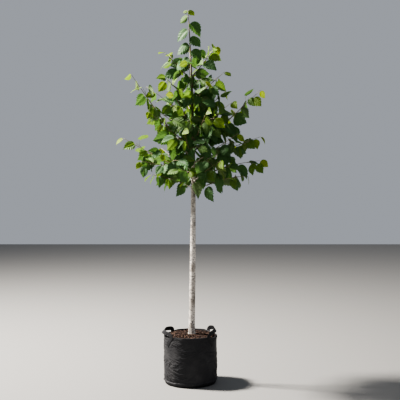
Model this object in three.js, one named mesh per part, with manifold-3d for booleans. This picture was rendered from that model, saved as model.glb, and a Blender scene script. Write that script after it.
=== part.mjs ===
// A young broadleaf tree, grown as a clear-stemmed standard in a round fabric bag of compost.
// Millimetres, +Z up. +X is to the right of the tree's front view and +Y points away from it.
// The origin is the centre of the bag's flat underside.
import * as THREE from "three";
import { mergeVertices } from "three/addons/utils/BufferGeometryUtils.js";
import Module from "manifold-3d";

const wasm = await Module();
wasm.setup();

// ---------------------------------------------------------------- driving dimensions

const GAP = 0.3; // clearance between pieces that touch
const SEED = 13; // of the numbers that twigs and leaves grow by

const BAG = {
  radius: 198,
  height: 370,
  wall: 3,
  footRound: 26, // radius of the rolled edge round the underside
  belly: 4, // how far the filled wall swells at half height
  hemHeight: 20,
  hemProud: 1.5, // the doubled cloth of the hem stands out by this much
  sag: 11, // the rim hangs this much lower between the two legs of a handle
  sagFrom: 38, // degrees from the middle of a handle where the rim starts to climb again
  sagTo: 60, // and where it is back at its full height
  sagFoot: 220, // height below which the wall doesn't sag
  sides: 40,
};

const SOIL = {
  top: 364, // height of the level patch that the trunk stands on
  patchRadius: 45,
  edgeDrop: 9, // the compost falls away by this much towards the wall
};

const STRAP = {
  width: 32,
  thickness: 2.4,
  rimSpan: 46, // degrees round the bag from the middle of the handle to each leg, at the rim
  footSpan: 32, // and at the foot of the leg, as the legs spread upwards
  sewnDepth: 74, // how far below the rim each leg is sewn to the wall
  standOff: 0.3, // room for the wall's curve behind the flat band
  steps: 28,
};

// rise: height of the middle of the loop above the rim; spread: how far it stands outside the legs'
// circle; slope: degrees that the band slopes down from its inner edge to its outer edge there.
const HANDLES = [
  { name: "handle_right", bearing: 0, rise: 30, spread: -10, slope: 55 },
  { name: "handle_left", bearing: 180, rise: 19, spread: 6, slope: 45 },
];

// Heights on the tree are measured from the soil at the foot of the trunk.
const TREE = {
  footX: 10, // the trunk stands a little to the right of the bag's centre
  height: 2452,
  lean: 42, // the stem drifts to the right by lean * u ...
  bow: 69, // ... and back to the left by bow * u^3, where u is the share of the tree's height
  sway: 8, // depth of the single slow curve towards the back
  footRadius: 21.5,
  tipRadius: 1.5,
  taperPower: 1.5,
  flare: 6,
  flareFade: 35,
};

const TRUNK = {
  height: 2096, // the leading shoot carries on from here
  sides: 12,
  rings: 24,
  crowding: 1.2, // power by which the rings lie closer together at the foot
};

const LIMB = {
  sides: 6,
  stemSides: 3, // of the stem inside the foliage
  step: 75, // length of one straight stretch of a limb or shoot
  baseRadius: 2.6, // radius of a shoot of no length, to which girth * length is added
  girth: 0.005,
  tipRadius: 1.2,
  collar: 0.45, // share by which a limb swells where it leaves the trunk
  collarFade: 14,
};

const TWIG = {
  sides: 3,
  radius: 2,
  first: 14, // from the foot of the foliage to its first side twig
  every: 92, // between side twigs along a shoot
  firstLeaf: 26, // from the foot of a twig to its first leaf
  zone: 0.75, // side twigs spring from this share of the shoot, counted from its base
  longest: 0.5, // length of a side twig as a share of the rest of its shoot
  shortest: 95,
  spread: 50, // degrees between a side twig and its shoot
  vary: [0.8, 1.2], // of its length and its spread
  climb: 0.7, // share of its shoot's climb that a twig keeps ...
  stray: [-0.2, 0.25], // ... and what is added to it
};

const LEAF = {
  length: 112, // blade of a full-grown leaf, without its stalk
  widthShare: 0.76,
  stalk: 14,
  thickness: 2.2,
  widest: 0.36, // share of the blade at which it is widest
  tipDrop: 0.12, // how far the tip curls down, as a share of the blade
  spacing: 52, // between leaf joints along a shoot
  first: 16, // from the foot of the foliage to its first leaf, on a shoot that follows a limb
  firstFromTrunk: 34, // and on one that springs from the middle of the trunk
  youngest: 0.55, // size of the last leaf of a shoot, as a share of full size
  tries: 16,
  shrink: 0.035, // share by which each further try makes the leaf smaller
  size: [0.84, 1.1],
  ahead: [0.25, 0.8], // how much a leaf points along its twig ...
  aside: [0.35, 1], // ... and to its side ...
  sink: [0.1, 1.1], // ... and downwards
  roll: [-40, 40], // degrees about its own length
  tipSide: 0.3, // how much the last leaf of a twig still turns to its side
};

const SPACE_MARGIN = 1.5; // how much nearer its own shoot than any other a leaf has to stay
const TRUNK_CLEARANCE = 3; // between a leaf or twig and the bark of the trunk
const SLIVER = 0.05; // edges shorter than this are dropped from a fused mass

// Each shoot leaves the trunk at a height, on a bearing (0 right, 90 back, 180 left, 270 front). Its tip
// stands reach away from the trunk's foot line and at the height top. A positive bow bends it upwards in
// the middle, a negative one lets it sag. limb is the bare part that is a bough of its own; a shoot with
// no limb springs straight from the trunk as foliage.
const SHOOTS = [
  { height: 1080, bearing: 350, reach: 430, top: 1196, bow: 0.25, limb: 110 },
  { height: 1104, bearing: 208, reach: 330, top: 1205, bow: 0.2, limb: 90 },
  { height: 1120, bearing: 268, reach: 330, top: 1225, bow: 0.2, limb: 90 },
  { height: 1136, bearing: 82, reach: 410, top: 1310, bow: 0.1, limb: 110 },
  { height: 1154, bearing: 302, reach: 400, top: 1300, bow: 0.1, limb: 110 },
  { height: 1166, bearing: 8, reach: 525, top: 1318, bow: 0.2, limb: 140 },
  { height: 1182, bearing: 196, reach: 385, top: 1305, bow: 0.2, limb: 110 },
  { height: 1196, bearing: 240, reach: 400, top: 1350, bow: 0, limb: 110 },
  { height: 1210, bearing: 170, reach: 530, top: 1490, bow: -0.05, limb: 140 },
  { height: 1232, bearing: 126, reach: 430, top: 1430, bow: 0, limb: 120 },
  { height: 1246, bearing: 42, reach: 450, top: 1450, bow: 0, limb: 120 },
  { height: 1272, bearing: 352, reach: 520, top: 1490, bow: 0.1, limb: 140 },
  { height: 1292, bearing: 322, reach: 430, top: 1500, bow: 0, limb: 110 },
  { height: 1300, bearing: 262, reach: 380, top: 1510, bow: 0, limb: 90 },
  { height: 1316, bearing: 180, reach: 455, top: 1965, bow: -0.06, limb: 190 },
  { height: 1348, bearing: 100, reach: 410, top: 1600, bow: 0, limb: 110 },
  { height: 1382, bearing: 3, reach: 522, top: 1850, bow: -0.03, limb: 190 },
  { height: 1400, bearing: 217, reach: 380, top: 1660, bow: 0, limb: 100 },
  { height: 1430, bearing: 290, reach: 340, top: 1660, bow: 0, limb: 0 },
  { height: 1455, bearing: 60, reach: 370, top: 1720, bow: 0, limb: 100 },
  { height: 1480, bearing: 150, reach: 350, top: 1750, bow: 0, limb: 0 },
  { height: 1515, bearing: 335, reach: 330, top: 1740, bow: 0, limb: 0 },
  { height: 1550, bearing: 245, reach: 290, top: 1780, bow: 0, limb: 0 },
  { height: 1592, bearing: 186, reach: 270, top: 1822, bow: 0.1, limb: 0 },
  { height: 1622, bearing: 28, reach: 300, top: 1860, bow: 0, limb: 0 },
  { height: 1655, bearing: 108, reach: 260, top: 1870, bow: 0, limb: 0 },
  { height: 1690, bearing: 298, reach: 240, top: 1890, bow: 0, limb: 0 },
  { height: 1730, bearing: 212, reach: 220, top: 1920, bow: 0, limb: 0 },
  { height: 1772, bearing: 356, reach: 250, top: 1984, bow: 0, limb: 0 },
  { height: 1812, bearing: 90, reach: 190, top: 1990, bow: 0, limb: 0 },
  { height: 1852, bearing: 262, reach: 170, top: 2030, bow: 0, limb: 0 },
  { height: 1922, bearing: 180, reach: 200, top: 2126, bow: 0, limb: 0 },
  { height: 1944, bearing: 4, reach: 180, top: 2180, bow: -0.1, limb: 0 },
  { height: 2010, bearing: 100, reach: 110, top: 2160, bow: 0, limb: 0 },
];

// ---------------------------------------------------------------- helpers

const UP = new THREE.Vector3(0, 0, 1);
const radians = THREE.MathUtils.degToRad;
const mix = THREE.MathUtils.lerp;
const UPRIGHT = 0.3; // sine of the lean below which a shoot counts as upright

/** A seeded source of numbers from 0 to 1, by a linear congruential rule in 32 bits. */
function seededNumbers(seed) {
  let state = (seed * 2654435761 + 12345) >>> 0;
  return () => {
    state = (Math.imul(state, 1664525) + 1013904223) >>> 0;
    return state / 4294967296;
  };
}

/** A number from a range, by the next of the seeded numbers. */
function pick([low, high], random) {
  return mix(low, high, random());
}

/** The level unit vector on a bearing in degrees. */
function heading(bearing) {
  return new THREE.Vector3(Math.cos(radians(bearing)), Math.sin(radians(bearing)), 0);
}

/** A manifold solid from a closed geometry. */
function toSolid(geometry) {
  const bare = new THREE.BufferGeometry().setAttribute("position", geometry.getAttribute("position"));
  if (geometry.index) bare.setIndex(geometry.index);
  const merged = mergeVertices(bare, 1e-4);
  return new wasm.Manifold(
    new wasm.Mesh({
      numProp: 3,
      vertProperties: new Float32Array(merged.getAttribute("position").array),
      triVerts: new Uint32Array(merged.index.array),
    }),
  );
}

/** A geometry from the largest body of a solid, which drops loose scraps and fills sealed hollows. */
function toGeometry(solid) {
  const bodies = solid.decompose().sort((a, b) => b.volume() - a.volume());
  const mesh = bodies[0].getMesh();
  const flat = new THREE.BufferGeometry()
    .setAttribute("position", new THREE.BufferAttribute(new Float32Array(mesh.vertProperties), 3))
    .setIndex(new THREE.BufferAttribute(new Uint32Array(mesh.triVerts), 1))
    .toNonIndexed();
  flat.computeVertexNormals();
  return flat;
}

/**
 * A closed skin over rings of points. Each ring has the same number of points, counter-clockwise seen
 * from ahead; the first and the last ring may be a single point.
 */
function skin(rings) {
  const faces = [];
  const cap = (start, size, flip) => {
    for (let k = 1; k < size - 1; k += 1) {
      faces.push(start, start + k + (flip ? 1 : 0), start + k + (flip ? 0 : 1));
    }
  };
  let start = 0;
  cap(0, rings[0].length, true);
  rings.slice(1).forEach((ring, i) => {
    const from = rings[i].length;
    const to = ring.length;
    const next = start + from;
    for (let k = 0; k < Math.max(from, to); k += 1) {
      const after = k + 1;
      if (from > 1) faces.push(start + k, start + (after % from), next + (to > 1 ? after % to : 0));
      if (to > 1) faces.push(start + (from > 1 ? k : 0), next + (after % to), next + k);
    }
    start = next;
  });
  cap(start, rings[rings.length - 1].length, false);
  return new THREE.BufferGeometry().setFromPoints(rings.flat()).setIndex(faces);
}

/** A tapering limb along a line of points, level on top, with a flat cut across each end. */
function limbGeometry(line, radiusAt, sides) {
  let along = 0;
  const rings = line.map((point, i) => {
    if (i > 0) along += point.distanceTo(line[i - 1]);
    const before = line[Math.max(i - 1, 0)];
    const after = line[Math.min(i + 1, line.length - 1)];
    const tangent = after.clone().sub(before).normalize();
    const aside = Math.abs(tangent.z) > 0.9 ? new THREE.Vector3(1, 0, 0) : UP;
    const across = aside.clone().cross(tangent).normalize();
    const over = tangent.clone().cross(across);
    const radius = radiusAt(along);
    return Array.from({ length: sides }, (_, k) => {
      const angle = Math.PI / 2 + ((2 * k - 1) * Math.PI) / sides;
      return point
        .clone()
        .addScaledVector(across, radius * Math.cos(angle))
        .addScaledVector(over, radius * Math.sin(angle));
    });
  });
  return skin(rings);
}

/** The shortest distance from a point to a line of straight stretches. */
function distanceToLine(point, line) {
  const stretch = new THREE.Line3();
  const nearest = new THREE.Vector3();
  let least = Infinity;
  for (let i = 0; i + 1 < line.length; i += 1) {
    stretch.set(line[i], line[i + 1]).closestPointToPoint(point, true, nearest);
    least = Math.min(least, nearest.distanceTo(point));
  }
  return least;
}

// ---------------------------------------------------------------- trunk and shoots

/** The middle of the stem at a height above the soil, measured from the foot of the trunk. */
function stemPoint(height) {
  const u = height / TREE.height;
  return new THREE.Vector3(TREE.lean * u - TREE.bow * u ** 3, TREE.sway * Math.sin(Math.PI * u), height);
}

/** The radius of the stem at a height, with the flare of its foot. */
function stemRadius(height) {
  const taper = 1 - (height / TREE.height) ** TREE.taperPower;
  const plain = TREE.tipRadius + (TREE.footRadius - TREE.tipRadius) * taper;
  return plain + TREE.flare * Math.exp(-height / TREE.flareFade);
}

/** The trunk from its flat cut at the soil to where the leading shoot takes over, grown by extra. */
function trunkGeometry(extra) {
  const rings = Array.from({ length: TRUNK.rings + 1 }, (_, i) => {
    const share = i / TRUNK.rings;
    const height = TRUNK.height * share ** TRUNK.crowding + (i === TRUNK.rings ? extra : 0);
    const middle = stemPoint(height);
    const radius = stemRadius(height) + extra;
    return Array.from({ length: TRUNK.sides }, (_, k) => {
      const angle = (2 * Math.PI * k) / TRUNK.sides;
      return middle
        .clone()
        .add(new THREE.Vector3(radius * Math.cos(angle), radius * Math.sin(angle), 0));
    });
  });
  return skin(rings);
}

/** The line of a shoot from a start to a tip, bowed up in the middle by bow times its climb. */
function shootLine(start, tip, bow) {
  const count = Math.max(2, Math.round(start.distanceTo(tip) / LIMB.step));
  return Array.from({ length: count + 1 }, (_, i) => {
    const share = i / count;
    const point = start.clone().lerp(tip, share);
    point.z += bow * start.distanceTo(tip) * share * (1 - share);
    return point;
  });
}

/** The part of a line between two distances along it. */
function cutLine(line, from, to) {
  const part = [];
  let along = 0;
  for (let i = 0; i + 1 < line.length; i += 1) {
    const size = line[i].distanceTo(line[i + 1]);
    const at = (distance) => line[i].clone().lerp(line[i + 1], (distance - along) / size);
    if (along <= from && from < along + size) part.push(at(from));
    if (along > from && along < to) part.push(line[i].clone());
    if (along < to && to <= along + size) part.push(at(to));
    along += size;
  }
  return part;
}

/** The length of a line of straight stretches. */
function lineLength(line) {
  return line.slice(1).reduce((sum, point, i) => sum + point.distanceTo(line[i]), 0);
}

/** How much thicker a limb is near the trunk than its plain taper. */
function collar(along) {
  return 1 + LIMB.collar * Math.exp(-along / LIMB.collarFade);
}

/** A function that gives the radius of a shoot at a distance from the middle of the trunk. */
function shootRadius(length) {
  const base = LIMB.baseRadius + LIMB.girth * length;
  return (along) => mix(base, LIMB.tipRadius, Math.min(along / length, 1));
}

// ---------------------------------------------------------------- foliage

/** Places a point of a leaf by how far it lies forward, across and above the leaf's root. */
function leafPlacer({ root, along, normal }) {
  const side = normal.clone().cross(along).normalize();
  return (forward, across, up) =>
    root
      .clone()
      .addScaledVector(along, forward)
      .addScaledVector(side, across)
      .addScaledVector(normal, up);
}

/** A closed thin leaf: a kite that starts as a point at its root, with a keel under its midrib. */
function leafGeometry(leaf) {
  const place = leafPlacer(leaf);
  const forward = LEAF.stalk + leaf.length * LEAF.widest;
  const half = (leaf.length * LEAF.widthShare) / 2;
  return skin([
    [place(0, 0, 0)],
    [place(forward, half, 0), place(forward, -half, 0), place(forward, 0, -LEAF.thickness)],
    [place(LEAF.stalk + leaf.length, 0, -LEAF.tipDrop * leaf.length)],
  ]);
}

/** Points round and across a leaf, for the test that it keeps to its space. */
function leafOutline(leaf) {
  const place = leafPlacer(leaf);
  const half = (leaf.length * LEAF.widthShare) / 2;
  const forward = LEAF.stalk + leaf.length * LEAF.widest;
  const beyond = LEAF.stalk + leaf.length * mix(LEAF.widest, 1, 0.5);
  const drop = LEAF.tipDrop * leaf.length;
  return [
    ...[-1, 0, 1].map((side) => place(forward / 2, (side * half) / 2, 0)),
    ...[-1, 0, 1].map((side) => place(forward, side * half, 0)),
    ...[-1, 0, 1].map((side) => place(beyond, (side * half) / 2, -drop / 2)),
    place(LEAF.stalk + leaf.length, 0, -drop),
  ];
}

/** Every shoot with its line; the leading shoot carries the trunk on to the top. */
function planShoots() {
  const shoots = SHOOTS.map((shoot, i) => {
    const tip = heading(shoot.bearing).multiplyScalar(shoot.reach).setZ(shoot.top);
    return { ...shoot, line: shootLine(stemPoint(shoot.height), tip, shoot.bow), number: i + 1 };
  });
  const foot = TRUNK.height + GAP;
  const line = [0, 1, 2, 3, 4, 5].map((i) => stemPoint(mix(foot, TREE.height, i / 5)));
  return [...shoots, { line, number: shoots.length + 1, limb: 0, leader: true }];
}

/** True if a point belongs to a shoot's space: nearer its line than any other, and off the trunk. */
function inSpace(point, own, shoots) {
  const reach = distanceToLine(point, own.line) + SPACE_MARGIN;
  const stem = stemPoint(Math.min(Math.max(point.z, 0), TREE.height));
  const beside = point.z < TRUNK.height + LEAF.spacing / 2;
  if (beside && point.distanceTo(stem) < stemRadius(point.z) + TRUNK_CLEARANCE) return false;
  return shoots.every((other) => other === own || distanceToLine(point, other.line) > reach);
}

/** The flat of a leaf as a ring of points from its root round its tip, and triangles that cover it. */
function leafFlat(leaf) {
  const place = leafPlacer(leaf);
  const half = (leaf.length * LEAF.widthShare) / 2;
  const forward = LEAF.stalk + leaf.length * LEAF.widest;
  const root = place(0.4 * LEAF.stalk, 0, 0);
  const left = place(forward, half, 0);
  const right = place(forward, -half, 0);
  const tip = place(LEAF.stalk + leaf.length, 0, -LEAF.tipDrop * leaf.length);
  return { ring: [root, left, tip, right, root], faces: [[root, left, right], [left, tip, right]] };
}

/** True if a line of straight stretches goes through a triangle. */
function pierces(line, face) {
  const ray = new THREE.Ray();
  const hit = new THREE.Vector3();
  return line.slice(1).some((end, i) => {
    const size = end.distanceTo(line[i]);
    ray.origin.copy(line[i]);
    ray.direction.subVectors(end, line[i]).divideScalar(size);
    return ray.intersectTriangle(...face, false, hit) !== null && hit.distanceTo(line[i]) < size;
  });
}

/** True if a leaf goes through a leaf or a twig that its mass already has. */
function crosses(leaf, leaves, twigs) {
  const flat = leafFlat(leaf);
  return (
    twigs.some((twig) => flat.faces.some((face) => pierces(twig, face))) ||
    leaves.some((other) => {
      const second = leafFlat(other);
      return (
        flat.faces.some((face) => pierces(second.ring, face)) ||
        second.faces.some((face) => pierces(flat.ring, face))
      );
    })
  );
}

/** Grows leaves along a line, on alternate sides, each tried in several attitudes until one fits. */
function growLeaves(line, first, mass) {
  const { random, leaves } = mass;
  const size = lineLength(line);
  const count = Math.max(1, Math.round((size - first) / LEAF.spacing) + 1);
  let side = random() < 0.5 ? -1 : 1;
  for (let i = 0; i < count; i += 1) {
    const last = i === count - 1;
    const along = last ? size - 0.5 : first + i * LEAF.spacing;
    const [root, ahead] = cutLine(line, along - 0.4, along);
    const tangent = ahead.clone().sub(root).normalize();
    const age = Math.min((count - 1 - i) / 2, 1);
    const length = LEAF.length * mix(LEAF.youngest, 1, age) * pick(LEAF.size, random);
    const turn = last ? side * LEAF.tipSide : side;
    const leaf = placeLeaf({ root, tangent, turn, length }, mass);
    if (leaf) leaves.push(leaf);
    side = -side;
  }
}

/** One leaf on a joint, or nothing if no attitude keeps it in its space and off its neighbours. */
function placeLeaf({ root, tangent, turn, length }, { random, fits, leaves, lines }) {
  const across = tangent.clone().cross(UP);
  if (across.length() < UPRIGHT) across.set(1, -0.4, 0);
  across.normalize().multiplyScalar(turn);
  let found = null;
  for (let attempt = 0; attempt < LEAF.tries; attempt += 1) {
    const along = tangent
      .clone()
      .multiplyScalar(pick(LEAF.ahead, random))
      .addScaledVector(across, pick(LEAF.aside, random))
      .addScaledVector(UP, -pick(LEAF.sink, random) * Math.min(1, Math.abs(turn) + LEAF.tipSide))
      .normalize();
    const normal = UP.clone().addScaledVector(along, -along.z).normalize();
    normal.applyAxisAngle(along, radians(pick(LEAF.roll, random)));
    const leaf = { root, along, normal, length: length * (1 - LEAF.shrink * attempt) };
    if (!found && leafOutline(leaf).every(fits) && !crosses(leaf, leaves, lines)) found = leaf;
  }
  return found;
}

/** Side twigs along a shoot, each cut back to the last joint inside its space. */
function growTwigs(line, random, fits) {
  const size = lineLength(line);
  const twigs = [];
  let side = random() < 0.5 ? -1 : 1;
  for (let at = TWIG.first; at < size * TWIG.zone; at += TWIG.every) {
    const [root, ahead] = cutLine(line, at, at + 0.5);
    const tangent = ahead.clone().sub(root).normalize();
    const turn = radians(side * TWIG.spread * pick(TWIG.vary, random));
    const length = Math.max(TWIG.shortest, (size - at) * TWIG.longest * pick(TWIG.vary, random));
    const course = tangent.clone().applyAxisAngle(UP, turn);
    course.z = course.z * TWIG.climb + pick(TWIG.stray, random);
    const whole = shootLine(root, root.clone().addScaledVector(course.normalize(), length), 0);
    const kept = whole.filter((_, i) => whole.slice(1, i + 1).every(fits));
    if (kept.length > 1) twigs.push(kept);
    side = -side;
  }
  return twigs;
}

/** One mass of foliage: its stem and side twigs with their leaves, fused into one solid. */
function growFoliage(shoot, shoots) {
  const random = seededNumbers(2 * shoot.number * SEED);
  const fits = (point) => inSpace(point, shoot, shoots);
  const bare = shoot.limb > 0 ? shoot.limb + GAP : 0;
  const size = lineLength(shoot.line);
  const radius = shootRadius(size);
  const stem = cutLine(shoot.line, bare, size);
  const twigs = shoot.leader ? [] : growTwigs(stem, seededNumbers((2 * shoot.number + 1) * SEED), fits);
  const mass = { random, fits, leaves: [], lines: [stem, ...twigs] };
  growLeaves(stem, shoot.leader || shoot.limb > 0 ? LEAF.first : LEAF.firstFromTrunk, mass);
  const parts = [limbGeometry(stem, (along) => radius(bare + along), LIMB.stemSides)];
  for (const twig of twigs) {
    const before = mass.leaves.length;
    growLeaves(twig, TWIG.firstLeaf, mass);
    if (mass.leaves.length === before) continue;
    const reach = lineLength(twig);
    parts.push(limbGeometry(twig, (along) => mix(TWIG.radius, LIMB.tipRadius, along / reach), TWIG.sides));
  }
  const solids = [...parts, ...mass.leaves.map(leafGeometry)].map(toSolid);
  return solids.reduce((sum, solid) => sum.add(solid)).simplify(SLIVER);
}

// ---------------------------------------------------------------- bag, soil and handles

/** An arc of points in a profile, from one angle to another in degrees. */
function arc(centreX, centreY, radius, from, to, count) {
  return Array.from({ length: count + 1 }, (_, i) => {
    const angle = radians(mix(from, to, i / count));
    return new THREE.Vector2(centreX + radius * Math.cos(angle), centreY + radius * Math.sin(angle));
  });
}

/** A LatheGeometry turns its profile round +Y; this stands it up along +Z. */
function turned(profile) {
  return new THREE.LatheGeometry(profile, BAG.sides).rotateX(Math.PI / 2);
}

/** The profile of the cloth at a depth inside its outer face: along the foot and up to a height. */
function clothProfile(inset, top) {
  const { radius, hemProud, footRound, belly, height } = BAG;
  const wallRadius = radius - hemProud;
  const wallHeights = [0.33, 0.66].map((share) => mix(footRound, height, share));
  const wall = wallHeights.map((z) => {
    const swell = belly * Math.sin((Math.PI * (z - footRound)) / (height - footRound));
    return new THREE.Vector2(wallRadius - inset + swell, z);
  });
  return [
    new THREE.Vector2(0, inset),
    ...arc(wallRadius - footRound, footRound, footRound - inset, -90, 0, 3),
    ...wall.filter(({ y }) => y < top - 1),
    new THREE.Vector2(wallRadius - inset, top),
  ];
}

/** How far the wall hangs down at a point: most at the rim, between the legs of each handle. */
function sagAt(x, y, z) {
  const { sag, sagFrom, sagTo, sagFoot, height } = BAG;
  const { smoothstep } = THREE.MathUtils;
  const off = THREE.MathUtils.radToDeg(Math.atan2(Math.abs(y), Math.abs(x)));
  return sag * (1 - smoothstep(off, sagFrom, sagTo)) * smoothstep(z, sagFoot, height);
}

/** The bag: a cloth shell with a rolled foot, and a doubled hem that stands proud of the wall and sags. */
function bagGeometry() {
  const { radius, height, wall, hemHeight, hemProud } = BAG;
  const hem = [
    new THREE.Vector2(radius, height - hemHeight + hemProud),
    new THREE.Vector2(radius, height - hemProud),
    new THREE.Vector2(radius - hemProud, height),
  ];
  const inside = clothProfile(wall, height).reverse();
  const geometry = turned([...clothProfile(0, height - hemHeight), ...hem, ...inside]);
  const points = geometry.getAttribute("position");
  for (let i = 0; i < points.count; i += 1) {
    const [x, y, z] = [points.getX(i), points.getY(i), points.getZ(i)];
    points.setZ(i, z - sagAt(x, y, z));
  }
  return geometry;
}

/** The compost: it fills the bag and is level where the trunk stands. */
function soilGeometry() {
  const edge = SOIL.top - SOIL.edgeDrop;
  return turned([
    ...clothProfile(BAG.wall + 2 * GAP, edge),
    new THREE.Vector2(SOIL.patchRadius, SOIL.top),
    new THREE.Vector2(0, SOIL.top),
  ]);
}

/** A webbing handle: two legs flat on the wall, and a loop that bends over between them and slopes outwards. */
function handleGeometry({ bearing, rise, spread, slope }) {
  const reach = BAG.radius + GAP + STRAP.thickness / 2 + STRAP.standOff;
  const out = heading(bearing);
  const along = heading(bearing + 90);
  const at = (outward, sideways, up) =>
    new THREE.Vector3()
      .addScaledVector(out, outward)
      .addScaledVector(along, sideways)
      .addScaledVector(UP, up);
  const rim = BAG.height;
  const onWall = (degrees, up) => {
    const angle = radians(degrees);
    const middle = at(reach * Math.cos(angle), -reach * Math.sin(angle), up);
    return [middle, at(-Math.sin(angle), -Math.cos(angle), 0)];
  };
  const loop = (degrees, inwards, up, width) => {
    const angle = radians(degrees);
    const radius = reach + spread * inwards;
    return [at(radius * Math.cos(angle), -radius * Math.sin(angle), rim + rise * up), width];
  };
  const climb = [
    onWall(STRAP.footSpan, rim - STRAP.sewnDepth),
    onWall(mix(STRAP.footSpan, STRAP.rimSpan, 0.5), rim - STRAP.sewnDepth / 2),
    onWall(STRAP.rimSpan, rim - 2),
    loop(STRAP.rimSpan * 0.93, 0, 0.5, at(-0.49, -0.51, 0.7)),
    loop(STRAP.rimSpan * 0.52, 0.6, 0.95, at(-0.35, -0.16, 0.92)),
  ];
  const lean = radians(slope);
  const top = [at(reach + spread, 0, rim + rise), at(-Math.cos(lean), 0, Math.sin(lean))];
  const mirrored = (vector) => vector.clone().addScaledVector(along, -2 * vector.dot(along));
  const descent = climb.map(([point, width]) => [mirrored(point), mirrored(width)]).reverse();
  const stations = [...climb, top, ...descent];
  const path = new THREE.CatmullRomCurve3(stations.map(([point]) => point));
  const widths = new THREE.CatmullRomCurve3(stations.map(([, width]) => width));
  const rings = Array.from({ length: STRAP.steps + 1 }, (_, i) => {
    const share = i / STRAP.steps;
    const tangent = path.getTangent(share);
    const wide = widths.getPoint(share);
    wide.addScaledVector(tangent, -wide.dot(tangent)).setLength(STRAP.width / 2);
    const thick = tangent.clone().cross(wide).setLength(STRAP.thickness / 2);
    const middle = path.getPoint(share);
    return [
      middle.clone().add(wide).add(thick),
      middle.clone().sub(wide).add(thick),
      middle.clone().sub(wide).sub(thick),
      middle.clone().add(wide).sub(thick),
    ];
  });
  return skin(rings);
}

// ---------------------------------------------------------------- the whole part

const COLOURS = {
  bark: { color: 0x9c9184, roughness: 0.6, metalness: 0 },
  shoot: { color: 0x6d5a48, roughness: 0.6, metalness: 0 },
  leaf: { color: 0x3f6620, roughness: 0.5, metalness: 0 },
  youngLeaf: { color: 0x7f9a2c, roughness: 0.5, metalness: 0 },
  cloth: { color: 0x1c1c20, roughness: 0.75, metalness: 0 },
  webbing: { color: 0x26262a, roughness: 0.7, metalness: 0 },
  compost: { color: 0x5a4032, roughness: 0.95, metalness: 0 },
};

/** Adds a named mesh with a material of its own to a parent. */
function addPiece(parent, name, geometry, colour) {
  const mesh = new THREE.Mesh(geometry, new THREE.MeshStandardMaterial(COLOURS[colour]));
  mesh.name = name;
  parent.add(mesh);
  return mesh;
}

const sapling = new THREE.Group();
const pot = new THREE.Group();
const tree = new THREE.Group();
tree.position.set(TREE.footX, 0, SOIL.top + GAP);
sapling.add(pot, tree);

addPiece(pot, "grow_bag", bagGeometry(), "cloth");
addPiece(pot, "soil", soilGeometry(), "compost");
HANDLES.forEach((handle) => addPiece(pot, handle.name, handleGeometry(handle), "webbing"));

addPiece(tree, "trunk", trunkGeometry(0), "bark");
const trunkKeepOut = toSolid(trunkGeometry(GAP));
const shoots = planShoots();
for (const shoot of shoots) {
  const number = String(shoot.number).padStart(2, "0");
  if (shoot.limb > 0) {
    const bare = cutLine(shoot.line, 0, shoot.limb);
    const radius = shootRadius(lineLength(shoot.line));
    const limb = toSolid(limbGeometry(bare, (along) => radius(along) * collar(along), LIMB.sides));
    addPiece(tree, `bough_${number}`, toGeometry(limb.subtract(trunkKeepOut)), "shoot");
  }
  const mass = growFoliage(shoot, shoots);
  const name = shoot.leader ? "foliage_leader" : `foliage_${number}`;
  const geometry = toGeometry(mass.subtract(trunkKeepOut));
  addPiece(tree, name, geometry, shoot.leader ? "youngLeaf" : "leaf");
}

export default sapling;
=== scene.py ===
"""A young standard tree in a round fabric grow bag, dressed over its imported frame.

Metres, +Z up, with the origin at the centre of the bag's flat underside. +X is to the right of the
front view and +Y points away from it.
"""

import logging
import math
from dataclasses import dataclass
from enum import Enum
from typing import Callable, Optional, Sequence, Union

import bpy
import numpy as np
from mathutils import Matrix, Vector


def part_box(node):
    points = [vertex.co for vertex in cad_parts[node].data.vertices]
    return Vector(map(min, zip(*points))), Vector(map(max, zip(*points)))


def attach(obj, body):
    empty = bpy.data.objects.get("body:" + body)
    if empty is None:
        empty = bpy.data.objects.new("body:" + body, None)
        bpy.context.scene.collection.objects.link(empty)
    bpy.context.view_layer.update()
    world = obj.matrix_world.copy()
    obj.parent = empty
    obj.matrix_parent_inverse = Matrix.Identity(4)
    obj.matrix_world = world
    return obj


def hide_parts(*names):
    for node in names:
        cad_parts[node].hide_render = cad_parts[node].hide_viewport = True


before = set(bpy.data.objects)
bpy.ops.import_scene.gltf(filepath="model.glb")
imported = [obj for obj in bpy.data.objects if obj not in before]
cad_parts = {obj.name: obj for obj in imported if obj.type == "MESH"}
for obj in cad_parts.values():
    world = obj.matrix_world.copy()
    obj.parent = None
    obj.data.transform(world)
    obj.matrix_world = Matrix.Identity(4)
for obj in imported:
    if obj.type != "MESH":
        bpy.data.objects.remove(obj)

Array = np.ndarray
Socket = bpy.types.NodeSocket
Feed = Union[Socket, float, Sequence[float], str]

LOG = logging.getLogger("grow_bag_tree")
BODY = "root"
MM = 0.001
UP = np.array([0.0, 0.0, 1.0])


# ---- meshes


@dataclass
class Patch:
    """Part of a mesh: its points, and arrays of faces with a UV for each of their corners.

    Attributes:
        points: Positions, one row each.
        faces: Arrays of corner numbers, one row a face; each array has faces of one size.
        uvs: For each array of faces, the UV of every corner.
    """

    points: Array
    faces: list[Array]
    uvs: list[Array]


def unit(vectors: Array) -> Array:
    """Vectors divided by their own length."""
    size = np.linalg.norm(vectors, axis=-1, keepdims=True)
    return vectors / np.maximum(size, 1e-12)


def mix(low: Array, young_bark_and_painted_shade: Array, share: Array) -> Array:
    """The value that lies a share of the way from low to high."""
    return low + (young_bark_and_painted_shade - low) * share


def smooth_step(low: float, young_bark_and_painted_shade: float, value: Array) -> Array:
    """0 below low, 1 above high, and the cubic 3t^2 - 2t^3 between them."""
    share = np.clip((value - low) / (young_bark_and_painted_shade - low), 0.0, 1.0)
    return share * share * (3.0 - 2.0 * share)


def round_angles(sides: int) -> Array:
    """Even angles once round, in radians, without the first again at the end."""
    return np.linspace(0.0, 2.0 * math.pi, sides, endpoint=False)


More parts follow.
